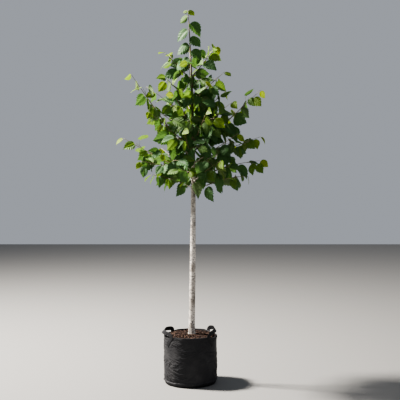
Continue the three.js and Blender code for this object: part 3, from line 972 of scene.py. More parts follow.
@dataclass(frozen=True)
class TwigForm:
    """How side twigs and their spurs spring from a shoot, and low twigs from its inner part."""

    radius: float = 0.002
    thin: float = 0.7
    even: float = 0.007
    reach: int = 2
    bare: float = 0.018
    first: float = 0.014
    every: float = 0.092
    zone: float = 0.75
    longest: float = 0.5
    shortest: float = 0.095
    spread: float = 50.0
    vary: tuple[float, float] = (0.8, 1.2)
    climb: float = 0.7
    stray: tuple[float, float] = (-0.2, 0.25)
    sag: tuple[float, float] = (0.02, 0.12)
    zigzag: float = 0.0012
    fine_radii: tuple[float, float] = (0.0011, 0.0006)
    spur: tuple[float, float] = (0.035, 0.075)
    spur_at: float = 0.55
    spur_room: float = 0.045
    spur_spread: tuple[float, float] = (40.0, 65.0)
    spur_climb: tuple[float, float] = (-0.1, 0.5)
    low_first: float = 0.045
    low_every: float = 0.095
    low_zone: float = 0.50
    low_top: float = 1.72
    low_from: float = 1.28
    low_size: tuple[float, float] = (0.035, 0.100)
    low_sag: float = 0.15


LEAF_LENGTH = 0.135
LEAF_SPACING = 0.105


@dataclass(frozen=True)
class Leafing:
    """How one kind of shoot bears its leaves.

    Attributes:
        length: Length of a grown leaf.
        young: How much younger the last leaves are, from 0 to 1.
        spacing: Distance from one leaf to the next.
        spread: A factor on how far they point aside.
        hang: How far they hang back along the shoot.
        sway: A factor on how far they may roll about their stalks.
    """

    length: float
    young: float
    spacing: float = LEAF_SPACING
    spread: float = 1.0
    hang: float = 0.0
    sway: float = 1.0


ON_LEADER = Leafing(0.134, 1.0, 0.052, 0.6, 0.9, 0.2)
ON_SHOOT = Leafing(LEAF_LENGTH, 1.0)
ON_TWIG = Leafing(LEAF_LENGTH * 0.98, 0.6)
ON_SPUR = Leafing(LEAF_LENGTH * 0.90, 0.2)
ON_LOW_TWIG = Leafing(LEAF_LENGTH * 0.96, 0.0)


@dataclass(frozen=True)
class LeafForm:
    """Where leaves spring, the spans that their attitudes are drawn from, and the room they need.

    Attributes:
        first: Where the first leaf springs beyond a bough's end.
        off_trunk: The same for a shoot that springs from the trunk itself.
        last_spread: A factor on how far the leaf at a shoot's tip points aside.
        tips: Aside and length of each of the young leaves at the very top, and tip_back below it.
        tries: How many attitudes are tried for each leaf, each later one smaller by shrink.
        later: What a later try loses in its score.
        spots: Where the room round a blade is felt, along it and across it.
        sag: How far those spots hang, by the square of the distance along the blade.
        reach: How far off neighbours are felt, room what they should leave, and least what they must.
    """

    first: float = 0.006
    off_trunk: float = 0.034
    stalk: float = 0.14
    youngest: float = 0.55
    last_spread: float = 0.35
    tips: tuple[tuple[float, float], ...] = ((-0.8, 0.040), (0.9, 0.030))
    tip_back: float = 0.012
    size: tuple[float, float] = (0.80, 1.05)
    ahead: tuple[float, float] = (0.1, 0.8)
    aside: tuple[float, float] = (0.45, 1.1)
    sink: tuple[float, float] = (0.35, 1.3)
    roll: tuple[float, float] = (-38.0, 38.0)
    tilt: tuple[float, float] = (12.0, 68.0)
    tries: int = 20
    shrink: float = 0.010
    later: float = 0.012
    spots: tuple[tuple[float, float], ...] = ((0.22, 0.0), (0.4, -0.8), (0.4, 0.0), (0.4, 0.8),
                                              (0.7, -0.6), (0.7, 0.0), (0.7, 0.6), (1.0, 0.0))
    sag: float = 0.12
    reach: float = 0.2
    room: float = 0.036
    least: float = 0.011


@dataclass(frozen=True)
class BladeForm:
    """The shape of a blade, in shares of its length, and the spans that its bends are drawn from.

    Attributes:
        crowd: The power that crowds the rows towards the base.
        lead: How far a vein meets the margin ahead of its foot on the midrib.
        teeth: How far a tooth stands ahead and, as a share of the half width, aside.
        pleat: How far a vein lies below the ridges beside it.
        ripple: Waves along and across of the margin's ripple.
        keel: The radii of the stalk and midrib, from the shoot to the middle of the blade.
        keel_rows: The rows of the blade where the keel has its last two radii.
        knee: How far the stalk bends up, and under how far the keel lies below the blade, in metres.
    """

    rows: int = 18
    columns: int = 4
    width: float = 0.76
    width_vary: tuple[float, float] = (0.92, 1.08)
    crowd: float = 1.3
    ends: tuple[float, float] = (0.0015, 0.997)
    lead: float = 0.40
    teeth: tuple[float, float] = (0.024, 0.085)
    pleat: float = 0.013
    fold: tuple[float, float] = (0.15, 0.70)
    arch: tuple[float, float] = (0.3, 1.5)
    drop: tuple[float, float] = (0.08, 0.34)
    twist: tuple[float, float] = (-0.35, 0.35)
    wave: tuple[float, float] = (0.0, 0.025)
    ripple: tuple[float, float] = (9.0, 3.0)
    keel: tuple[float, ...] = (0.0010, 0.0008, 0.0008, 0.0006, 0.0002)
    keel_rows: tuple[int, int] = (5, 10)
    knee: float = 0.012
    under: float = 0.0004


@dataclass(frozen=True)
class TrunkForm:
    """The relief of the trunk's bark.

    Attributes:
        reliefs: Seed, cells across, cells along, and depth as a share of the radius.
        lobes: How far the lobes at the foot stand out, and lobe_fade how soon they end upwards.
        knuckle: How proud and how tall the swelling under a bough is.
        cut: How proud and how tall a healed cut is, and cuts from where to where and how often.
        breadth: How far round the stem both reach, in radians.
        clear: Where the thick bark of the clear stem starts to thin.
    """

    rows: int = 620
    sides: int = 64
    sunk: float = 0.006
    reliefs: tuple[tuple[int, int, int, float], ...] = ((3, 5, 26, 0.020), (4, 9, 90, 0.012),
                                                        (5, 22, 380, 0.006))
    lobes: float = 0.07
    lobe_fade: float = 0.03
    knuckle: tuple[float, float] = (0.0030, 0.016)
    cut: tuple[float, float] = (0.0016, 0.009)
    cuts: tuple[float, float, float] = (0.14, 1.06, 0.105)
    stray: tuple[float, float] = (-0.03, 0.03)
    breadth: float = 0.7
    clear: float = 0.6
    wrap: float = 0.12


@dataclass(frozen=True)
class Joint:
    """Where a leaf springs from a shoot, which way its rank and its upper face look, and its length.

    Its sway is a factor on how far it may roll about its stalk.
    """

    root: Array
    tangent: Array
    rank: Array
    face: Array
    length: float
    spray: int
    youth: float
    sway: float = 1.0


@dataclass
class Blades:
    """Every leaf: its root, its three directions, its length, spray and youth, one row each."""

    root: Array
    along: Array
    side: Array
    normal: Array
    length: Array
    spray: Array
    youth: Array


class Space:
    """Tells whose space a point lies in: that of the shoot whose line is nearest by a margin."""

    MARGIN = 0.0015
    OFF_BARK = 0.003
    OVER_TRUNK = 0.026

    def __init__(self, lines: Sequence[Line], stem: StemForm) -> None:
        """Keeps every straight stretch of every shoot.

        Args:
            lines: The line of every shoot.
            stem: The trunk's form.
        """
        self.stem = stem
        self.starts = np.concatenate([line.points[:-1] for line in lines])
        self.steps = np.concatenate([np.diff(line.points, axis=0) for line in lines])
        self.first = np.cumsum([0] + [len(line.points) - 1 for line in lines])[:-1]

    def holds(self, points: Array, own: int) -> Array:
        """True for each point in the space of one shoot and clear of the trunk's bark.

        Args:
            points: Places to test.
            own: The number of the shoot.

        Returns:
            A truth for each point.
        """
        offset = points[:, None] - self.starts
        share = (offset * self.steps).sum(axis=2) / (self.steps**2).sum(axis=1)
        gaps = np.linalg.norm(offset - np.clip(share, 0.0, 1.0)[..., None] * self.steps, axis=2)
        nearest = np.minimum.reduceat(gaps, self.first, axis=1)
        mine = nearest[:, own].copy()
        nearest[:, own] = np.inf
        height = points[:, 2] - self.stem.foot[2]
        beside = height < self.stem.trunk_top + self.OVER_TRUNK
        bark = np.linalg.norm(points - self.stem.middle(height), axis=1) - self.stem.radius(height)
        return (nearest.min(axis=1) > mine + self.MARGIN) & ~(beside & (bark < self.OFF_BARK))


def turned(course: Array, turn: float, climb: float) -> Array:
    """A direction turned about the upright by an angle, with a climb of its own."""
    return np.array([course[0] * math.cos(turn) - course[1] * math.sin(turn),
                     course[0] * math.sin(turn) + course[1] * math.cos(turn), climb])


class Tree:
    """The trunk, its boughs, the shoots and twigs that grow on from them, and the leaves."""

    SEED = 13
    LEAF_SEED = 29
    FOOT = (0.010, 0.0)
    UPRIGHT_RANK = unit(np.array([1.0, -0.3, 0.0]))
    UPRIGHT_FACE = unit(np.array([0.05, -0.85, 0.50]))

    def __init__(self, effects: Effects) -> None:
        """Reads where the trunk stands and grows every line and leaf.

        Args:
            effects: The shared shader groups.
        """
        low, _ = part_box("trunk")
        self.effects = effects
        self.stem = StemForm((*self.FOOT, low.z))
        self.limbs, self.twigs, self.leaves = LimbForm(), TwigForm(), LeafForm()
        self.lines: list[Line] = []
        self.bare: list[float] = []
        foot = np.array(self.stem.foot)
        for height, bearing, reach, top, bow, bare in SHOOT_TABLE:
            angle = math.radians(bearing)
            tip = foot + MM * np.array([reach * math.cos(angle), reach * math.sin(angle), top])
            self.lines.append(self.limbs.course(self.stem.middle(height * MM), tip, bow))
            self.bare.append(bare * MM)
        self.lines.append(Line(self.stem.middle(np.linspace(self.stem.trunk_top, self.stem.height, 6))))
        self.space = Space(self.lines, self.stem)
        self.rng = np.random.default_rng(self.LEAF_SEED)
        self.boughs: list[Patch] = []
        self.woods: list[Patch] = []
        self.joints: list[Joint] = []
        self.sprays = 0
        for own in range(len(self.bare)):
            self._grow_shoot(own)
        self._grow_leader(self.lines[-1])
        self.blades = self._place_leaves()

    @staticmethod
    def _zigzag(line: Line, start: float, depth: float) -> Line:
        """A line that steps from side to side at every leaf joint beyond start.

        The sidestep is depth times a triangle wave of the distance, softened and faded in.

        Args:
            line: What is bent.
            start: Where it starts to step.
            depth: How far it steps aside.

        Returns:
            The bent line.
        """
        tangents = unit(np.gradient(line.points, axis=0))
        across, _ = sides_of(tangents)
        beyond = line.along - start
        wave = 2.0 * np.abs(np.mod(beyond / (2.0 * LEAF_SPACING), 1.0) - 0.5) * 2.0 - 1.0
        fade = smooth_step(0.0, 2.0 * LEAF_SPACING, beyond)
        return Line(line.points + across * (depth * wave * fade)[:, None])

    def _grow_leader(self, coarse: Line) -> None:
        """Draws the leading shoot, whose first rings lie inside the trunk's cut end.

        Args:
            coarse: Its plain line.
        """
        limbs = self.limbs
        line = self._zigzag(coarse.softened(limbs.even, limbs.reach), limbs.zigzag_from, limbs.zigzag)
        self.woods.append(limb_patch(line, self.stem.radius(self.stem.trunk_top + line.along), 8))
        self._add_joints(line, self.leaves.first, ON_LEADER)
        rank, face = self._ranks(UP, 0.0, 1.0)
        root = line.at(line.size - self.leaves.tip_back)
        for turn, size in self.leaves.tips:
            self.joints.append(Joint(root, UP, rank * turn, face, size, self.sprays - 1, 1.0))

    def _grow_shoot(self, own: int) -> None:
        """Draws one shoot and everything on it.

        Args:
            own: Its number.
        """
        coarse, bare, limbs = self.lines[own], self.bare[own], self.limbs
        even = coarse.softened(limbs.even, limbs.reach)
        line = self._zigzag(even, bare + limbs.zigzag_from, limbs.zigzag)
        wood, radii, cut = self._rough(own), limbs.radius(line.along, line.size), 0
        if bare:
            cut = int(np.searchsorted(line.along, bare + MM))
            self.boughs.append(wood(Line(line.points[:cut + 1]), radii[:cut + 1], 10))
        self.woods.append(wood(Line(line.points[cut:]), radii[cut:], 7))
        self._add_joints(line, bare + (self.leaves.first if bare else self.leaves.off_trunk), ON_SHOOT)
        self._grow_twigs(own, coarse.part(bare + (limbs.gap if bare else 0.0), coarse.size), line)
        if self.twigs.low_from < coarse.points[0, 2] - self.stem.foot[2] < self.twigs.low_top:
            self._grow_low_twigs(line)

    def _rough(self, own: int) -> Callable[[Line, Array, int], Patch]:
        """A maker of limbs whose rings swell and pinch by noise.

        Args:
            own: The number of the shoot.

        Returns:
            The maker, which takes a line, its radii and sides.
        """
        noise = Relief(100 + own, 5, 40)

        def make(line: Line, radii: Array, sides: int) -> Patch:
            """One limb with relief on its bark."""
            turn = np.linspace(0.0, 1.0, sides, endpoint=False)
            swell = self.limbs.rough * noise(turn[None], (line.along / max(line.size, 1e-6))[:, None])
            return limb_patch(line, radii, sides, swell)

        return make

    def _grow_twigs(self, own: int, coarse: Line, line: Line) -> None:
        """Side twigs by the seeded rule of the frame's foliage, each with a spur if it is long enough.

        Args:
            own: The number of the shoot.
            coarse: Its plain line beyond the bare bough.
            line: The line as it is drawn, from the trunk on.
        """
        form, numbers = self.twigs, Numbers((2 * (own + 1) + 1) * self.SEED)
        side = -1 if numbers.draw() < 0.5 else 1
        for at in np.arange(form.first, coarse.size * form.zone, form.every):
            root, tangent = coarse.at(at), coarse.heading(at)
            turn = math.radians(side * form.spread * numbers.pick(form.vary))
            size = max(form.shortest, (coarse.size - at) * form.longest * numbers.pick(form.vary))
            course = turned(tangent, turn, tangent[2] * form.climb + numbers.pick(form.stray))
            whole = self.limbs.course(root, root + unit(course) * size, 0.0).points
            fits = np.concatenate([[True], np.logical_and.accumulate(self.space.holds(whole[1:], own))])
            side = -side
            if fits.sum() < 2:
                continue
            kept = Line(whole[fits] + (line.at(self.bare[own] + at) - root))
            twig = self._zigzag(self._arched(kept.softened(form.even, form.reach)), 0.0, form.zigzag)
            radii = mix(form.radius, self.limbs.tip_radius * form.thin, twig.along / twig.size)
            self.woods.append(limb_patch(twig, radii, 6))
            self._add_joints(twig, form.bare, ON_TWIG)
            self._grow_spur(twig, -side)

    def _arched(self, line: Line) -> Line:
        """A twig that sags a little in its outer part: it drops by a share times the square of its length.

        Args:
            line: The twig.

        Returns:
            The arched twig.
        """
        sag = self.rng.uniform(*self.twigs.sag)
        points = line.points.copy()
        points[:, 2] -= sag * line.size * (line.along / line.size) ** 2
        return Line(points)

    def _grow_spur(self, twig: Line, side: int) -> None:
        """A short finer twig on one side of a side twig, with a leaf or two.

        Args:
            twig: The line that it grows from.
            side: 1 or -1.
        """
        form, rng = self.twigs, self.rng
        size = rng.uniform(*form.spur)
        turn = side * math.radians(rng.uniform(*form.spur_spread))
        climb = rng.uniform(*form.spur_climb)
        at = twig.size * form.spur_at
        if at < form.spur_room:
            return
        root, tangent = twig.at(at), twig.heading(at)
        course = unit(turned(tangent, turn, tangent[2] * 0.5 + climb))
        spur = Line(root + course * np.linspace(0.0, size, 6)[:, None])
        self._add_fine(spur, size * 0.55, ON_SPUR)

    def _grow_low_twigs(self, line: Line) -> None:
        """Short finer twigs that droop from the inner part of a shoot, with a leaf or two each.

        Args:
            line: The line that they grow from.
        """
        form, rng, side = self.twigs, self.rng, 1.0
        share = np.linspace(0.0, 1.0, 6)
        for at in np.arange(form.low_first, line.size * form.low_zone, form.low_every):
            side = -side
            root, tangent = line.at(at), line.heading(at)
            size = rng.uniform(*form.low_size)
            course = unit(tangent * rng.uniform(0.2, 0.9) + UP * rng.uniform(-0.9, 0.2)
                          + unit(np.cross(tangent, UP)) * side * rng.uniform(0.1, 0.9))
            sag = UP * (form.low_sag * size * share**2)[:, None]
            self._add_fine(Line(root + course * (size * share)[:, None] - sag), size * 0.5, ON_LOW_TWIG)

    def _add_fine(self, line: Line, first: float, leafing: Leafing) -> None:
        """Keeps a short fine twig, with leaves from first on."""
        self.woods.append(limb_patch(line, np.linspace(*self.twigs.fine_radii, len(line.points)), 5))
        self._add_joints(line, first, leafing)

    def _ranks(self, tangent: Array, tilt: float, flip: float) -> tuple[Array, Array]:
        """The way one rank of leaves points, and the way the upper faces of both ranks look.

        The ranks lie level on both sides of the shoot and are then turned about it by the tilt, so
        that the spray faces forwards, or to the side that flip says where the shoot runs to or fro.
        On an upright shoot the ranks lie to its left and right and face forwards and up.

        Args:
            tangent: The way the shoot runs.
            tilt: The turn about the shoot, in radians.
            flip: 1 or -1.

        Returns:
            Two unit directions.
        """
        level = np.cross(tangent, UP)
        if np.linalg.norm(level) < 0.3:
            return self.UPRIGHT_RANK, self.UPRIGHT_FACE
        level = unit(level)
        over = np.cross(level, tangent)
        turn = tilt * (flip if abs(level[1]) < 0.35 else math.copysign(1.0, level[1]))
        return (level * math.cos(turn) + over * math.sin(turn),
                over * math.cos(turn) - level * math.sin(turn))

    def _add_joints(self, line: Line, first: float, leafing: Leafing) -> None:
        """Leaf joints on alternate sides of a line, with the youngest leaf at its tip.

        Args:
            line: What the leaves grow on.
            first: Where the first one grows.
            leafing: How this kind of shoot bears them.
        """
        form, rng = self.leaves, self.rng
        tilt, flip = math.radians(rng.uniform(*form.tilt)), rng.choice([-1.0, 1.0])
        count = max(1, int((line.size - first) / leafing.spacing + 0.5) + 1)
        side = rng.choice([-1, 1])
        for i in range(count):
            last = i == count - 1
            along = line.size - 0.0005 if last else first + i * leafing.spacing
            youth = leafing.young * (1.0 - min((count - 1 - i) / 2.0, 1.0))
            size = leafing.length * mix(1.0, form.youngest, youth) * rng.uniform(*form.size)
            heading = line.heading(along)
            rank, face = self._ranks(heading, tilt, flip)
            rank = rank * (side * (form.last_spread if last else leafing.spread))
            heading = heading - leafing.hang * UP
            self.joints.append(Joint(line.at(along), heading, rank, face, size, self.sprays, youth,
                                     leafing.sway))
            side = -side
        self.sprays += 1

    def _place_leaves(self) -> Blades:
        """Turns each leaf the way that keeps it furthest from its neighbours and off the trunk.

        Returns:
            The leaves that find room.
        """
        form, rng = self.leaves, self.rng
        spots, half_width = np.array(form.spots), BladeForm().width / 2.0
        attempt = np.arange(form.tries)
        taken = np.empty((0, 3))
        rows = []
        for joint in sorted(self.joints, key=lambda joint: -joint.youth):
            ahead, aside, sink, roll = (rng.uniform(*span, (form.tries, 1)) for span in
                                        (form.ahead, form.aside, form.sink, form.roll))
            hang = sink * min(1.0, float(np.linalg.norm(joint.rank)) + 0.3)
            along = unit(ahead * joint.tangent + aside * joint.rank - hang * UP)
            normal = unit(joint.face - along * (along @ joint.face)[:, None])
            angle = np.radians(roll) * joint.sway
            normal = normal * np.cos(angle) + np.cross(along, normal) * np.sin(angle)
            side = np.cross(normal, along)
            length = joint.length * (1.0 - form.shrink * attempt[:, None])
            forward = length * (form.stalk + spots[:, 0])
            beside = length * half_width * spots[:, 1]
            drop = -form.sag * length * spots[:, 0] ** 2
            places = (joint.root + along[:, None] * forward[..., None] + side[:, None] * beside[..., None]
                      + normal[:, None] * drop[..., None])
            clear = self._clearance(places, joint.root, taken)
            best = int(np.argmax(clear / form.room - form.later * attempt))
            if clear[best] < form.least and joint.youth < 1.0:
                continue
            taken = np.concatenate([taken, places[best]])
            rows.append((joint.root, along[best], side[best], normal[best], length[best, 0], joint.spray,
                         joint.youth))
        LOG.info("%d leaves on %d joints", len(rows), len(self.joints))
        return Blades(*(np.array(column) for column in zip(*rows)))

    def _clearance(self, places: Array, root: Array, taken: Array) -> Array:
        """The room that each try at a leaf keeps from the trunk and from the leaves near its root.

        Args:
            places: Tries by spots by three.
            root: Where the leaf springs.
            taken: The spots of the leaves that are placed already.

        Returns:
            One distance for each try, no more than the room that a leaf should have.
        """
        form = self.leaves
        height = places[..., 2] - self.stem.foot[2]
        bark = np.linalg.norm(places - self.stem.middle(height), axis=2) - self.stem.radius(height)
        clear = np.minimum(bark.min(axis=1), form.room)
        near = taken[np.linalg.norm(taken - root, axis=1) < form.reach]
        if len(near):
            gaps = np.linalg.norm(places[:, :, None] - near, axis=3).min(axis=(1, 2))
            clear = np.minimum(clear, gaps)
        return clear

    def _blade_grid(self, rows: Array) -> tuple[Array, Array]:
        """The points of some leaves' blades, and of the midrib line under each.

        With t along the blade from 0 to 1 and c across it from -1 to 1, the half width is
        sin(pi t^0.72) to the power 0.58 + 0.80 t^2. A vein runs straight from the midrib to the margin,
        which it meets further forward. Every second row is a vein and lies low, so the blade is
        pleated, and its end stands out as a tooth. The halves rise from the midrib and arch over,
        and the tip bends down as the square of t.

        Args:
            rows: Numbers of the leaves.

        Returns:
            Leaves by rows by columns by three, and leaves by rows by three.
        """
        form, blades = BladeForm(), self.blades
        rng = np.random.default_rng(self.LEAF_SEED + 1)
        fold, arch, drop, twist, wave, vary = (
            rng.uniform(*span, len(blades.length))[rows, None, None]
            for span in (form.fold, form.arch, form.drop, form.twist, form.wave, form.width_vary))
        wide = form.width * vary / 2.0
        t = (np.arange(form.rows + 1) / form.rows) ** form.crowd
        t[0], t[-1] = form.ends
        c = np.linspace(-1.0, 1.0, form.columns + 1)
        shape = np.sin(math.pi * t**0.72) ** (0.58 + 0.80 * t**2)
        rib = (t - form.lead * shape * t**0.7)[:, None]
        t, shape = t[:, None], shape[:, None]
        ridge = np.where(np.arange(form.rows + 1) % 2 == 0, -1.0, 1.0)[:, None]
        tooth, pleat = -ridge * (np.abs(c) == 1.0), ridge * np.sqrt(np.abs(c))
        ahead = rib + (t - rib) * np.abs(c) ** 1.15 + form.teeth[0] * tooth * shape
        across = wide * shape * c * (1.0 + form.teeth[1] * tooth)
        above = (fold * np.abs(across) - arch * across**2 + form.pleat * pleat * shape
                 - drop * ahead**2 + across * np.tan(twist) * ahead
                 + wave * np.sin(form.ripple[0] * ahead + form.ripple[1] * c) * np.abs(c))
        scale = blades.length[rows, None, None]
        points = self._carry(rows, ahead * scale, across * scale, above * scale)
        bend = rib[None] * np.ones_like(scale)
        spine = self._carry(rows, bend * scale, 0.0 * bend, -drop * bend**2 * scale)[:, :, 0]
        return points, spine

    def _bases(self, rows: Array) -> Array:
        """Where the blades of some leaves start, at the ends of their stalks."""
        blades = self.blades
        return blades.root[rows] + blades.along[rows] * (blades.length[rows] * self.leaves.stalk)[:, None]

    def _carry(self, rows: Array, ahead: Array, across: Array, above: Array) -> Array:
        """Points of some leaves from how far they lie along, across and above each leaf's base.

        Args:
            rows: Numbers of the leaves.
            ahead: Distances along each.
            across: Distances to its side.
            above: Distances out of its face.

        Returns:
            One point for each distance.
        """
        blades = self.blades
        return (self._bases(rows)[:, None, None] + blades.along[rows, None, None] * ahead[..., None]
                + blades.side[rows, None, None] * across[..., None]
                + blades.normal[rows, None, None] * above[..., None])

    def _tones(self) -> Array:
        """The tone of each leaf, dealt by spray: brighter at the tips, the rim and the top.

        Returns:
            For each leaf the number of its tone.
        """
        blades = self.blades
        rng = np.random.default_rng(self.LEAF_SEED + 2)
        chance = rng.uniform(-0.28, 0.28, self.sprays)[blades.spray]
        rim = np.linalg.norm(blades.root[:, :2] - self.FOOT, axis=1)
        score = 0.75 * blades.youth + chance + 0.30 * blades.root[:, 2] + 0.7 * rim
        return np.digitize(score, np.quantile(score, TONE_SHARES))

    def build(self) -> None:
        """Makes every piece of the tree."""
        names = sorted(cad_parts)
        masses = [name for name in names if name.startswith("foliage_")]
        limbs = [name for name in names if name.startswith("bough_")]
        bark = BarkFinish().material("bark", self.effects)
        make_piece("trunk_bark", [self._trunk_patch()], bark, ["trunk"])
        make_piece("bough_bark", self.boughs, bark, limbs)
        make_piece("twigs", self.woods, SHOOT_BARK.material("shoot", self.effects), masses)
        make_piece("leaf_stalks", [self._stalk_patch()], LEAF_STALK.material("leaf_stalk", self.effects),
                   masses)
        form, tones = BladeForm(), self._tones()
        corners, marks = grid_faces(form.rows + 1, form.columns + 1, False)
        uv = grid_uv(np.linspace(0.0, 1.0, form.columns + 1), np.linspace(0.0, 1.0, form.rows + 1))
        uv = uv.reshape(-1, 2)[marks]
        for number, tone in enumerate(Tone):
            rows = np.flatnonzero(tones == number)
            points, _ = self._blade_grid(rows)
            finish = LEAF_FINISHES[tone].material("leaf_" + tone.value, self.effects)
            patch = stamp(points.reshape(len(rows), -1, 3), corners[:, ::-1], uv[:, ::-1])
            make_piece("leaves_" + tone.value, [patch], finish, masses, smooth=False)

    def _stalk_patch(self) -> Patch:
        """Each leaf's stalk, and the midrib that carries it on under the blade as a thin keel.

        Returns:
            All stalks in one patch.
        """
        blades, form = self.blades, BladeForm()
        rows = np.arange(len(blades.length))
        _, spine = self._blade_grid(rows)
        base, under = self._bases(rows), blades.normal * form.under
        knee = mix(blades.root, base, 0.5) + blades.normal * (blades.length * form.knee)[:, None]
        keel = [spine[:, row] - under for row in form.keel_rows]
        line = np.stack([blades.root, knee, base - under, *keel], axis=1)
        radii, angle, count = np.array(form.keel), round_angles(4), len(form.keel)
        rings = (line[:, :, None]
                 + blades.side[:, None, None] * (np.cos(angle) * radii[:, None])[None, ..., None]
                 - blades.normal[:, None, None] * (np.sin(angle) * radii[:, None])[None, ..., None])
        corners, marks = grid_faces(count, 4, True)
        uv = grid_uv(np.linspace(0.0, 1.0, 5), np.linspace(0.0, 1.0, count)).reshape(-1, 2)
        caps = np.array([[0, 3, 2, 1], [4 * count - 4, 4 * count - 3, 4 * count - 2, 4 * count - 1]])
        faces = np.concatenate([corners, caps])
        return stamp(rings.reshape(len(rows), -1, 3), faces, np.concatenate([uv[marks], uv[caps % len(uv)]]))

    def _trunk_patch(self) -> Patch:
        """The trunk: rings of the stem's radius, with low lobes at the foot, knuckles under the boughs,
        healed cuts on the clear stem and noise all over. The bark is thickest on the clear stem.

        Returns:
            The closed tube of the whole trunk.
        """
        form, stem = TrunkForm(), self.stem
        height = np.linspace(-form.sunk, stem.trunk_top, form.rows)
        angle = round_angles(form.sides) + math.pi / 2.0
        turn = np.linspace(0.0, 1.0, form.sides, endpoint=False)[None]
        turn, share = np.broadcast_arrays(turn, (height / stem.trunk_top)[:, None])
        swell = np.zeros(share.shape)
        for seed, across, along, depth in form.reliefs:
            swell = swell + depth * Relief(seed, across, along)(turn, share)
        foot = np.exp(-np.maximum(height, 0.0) / form.lobe_fade)[:, None]
        swell += form.lobes * np.cos(5.0 * angle + 0.7) * foot
        grown = np.zeros(share.shape)
        scars = np.random.default_rng(8)
        knots = [(row[0] * MM, math.radians(row[1]), *form.knuckle) for row in SHOOT_TABLE]
        cuts = np.arange(*form.cuts)
        knots += [(at, scars.uniform(0.0, 2.0 * math.pi), *form.cut)
                  for at in cuts + scars.uniform(*form.stray, len(cuts))]
        for at, bearing, proud, tall in knots:
            off = np.angle(np.exp(1j * (angle - bearing)))
            bulge = np.exp(-((height - at) / tall) ** 2)[:, None]
            grown += proud * bulge * np.exp(-((off / form.breadth) ** 2))[None]
        bark = stem.bark * (1.0 - smooth_step(form.clear, stem.trunk_top, height))
        radius = (stem.radius(height) + bark)[:, None] * (1.0 + swell) + grown
        rings = stem.middle(height)[:, None] + polar(1.0, angle, 0.0)[None] * radius[..., None]
        return tube_patch(rings, grid_uv(np.linspace(0.0, 1.0, form.sides + 1) * form.wrap, height))


# ---- bag, handles and compost


@dataclass(frozen=True)
class BagForm:
    """Sizes of the cloth bag."""

    radius: float = 0.198
    height: float = 0.370
    wall: float = 0.003
    foot_round: float = 0.026
    belly: float = 0.004
    proud: float = 0.0015
    leg_foot: float = 0.296
    leg_foot_turn: float = 32.0
    leg_rim_turn: float = 46.0
    sag: float = 0.011


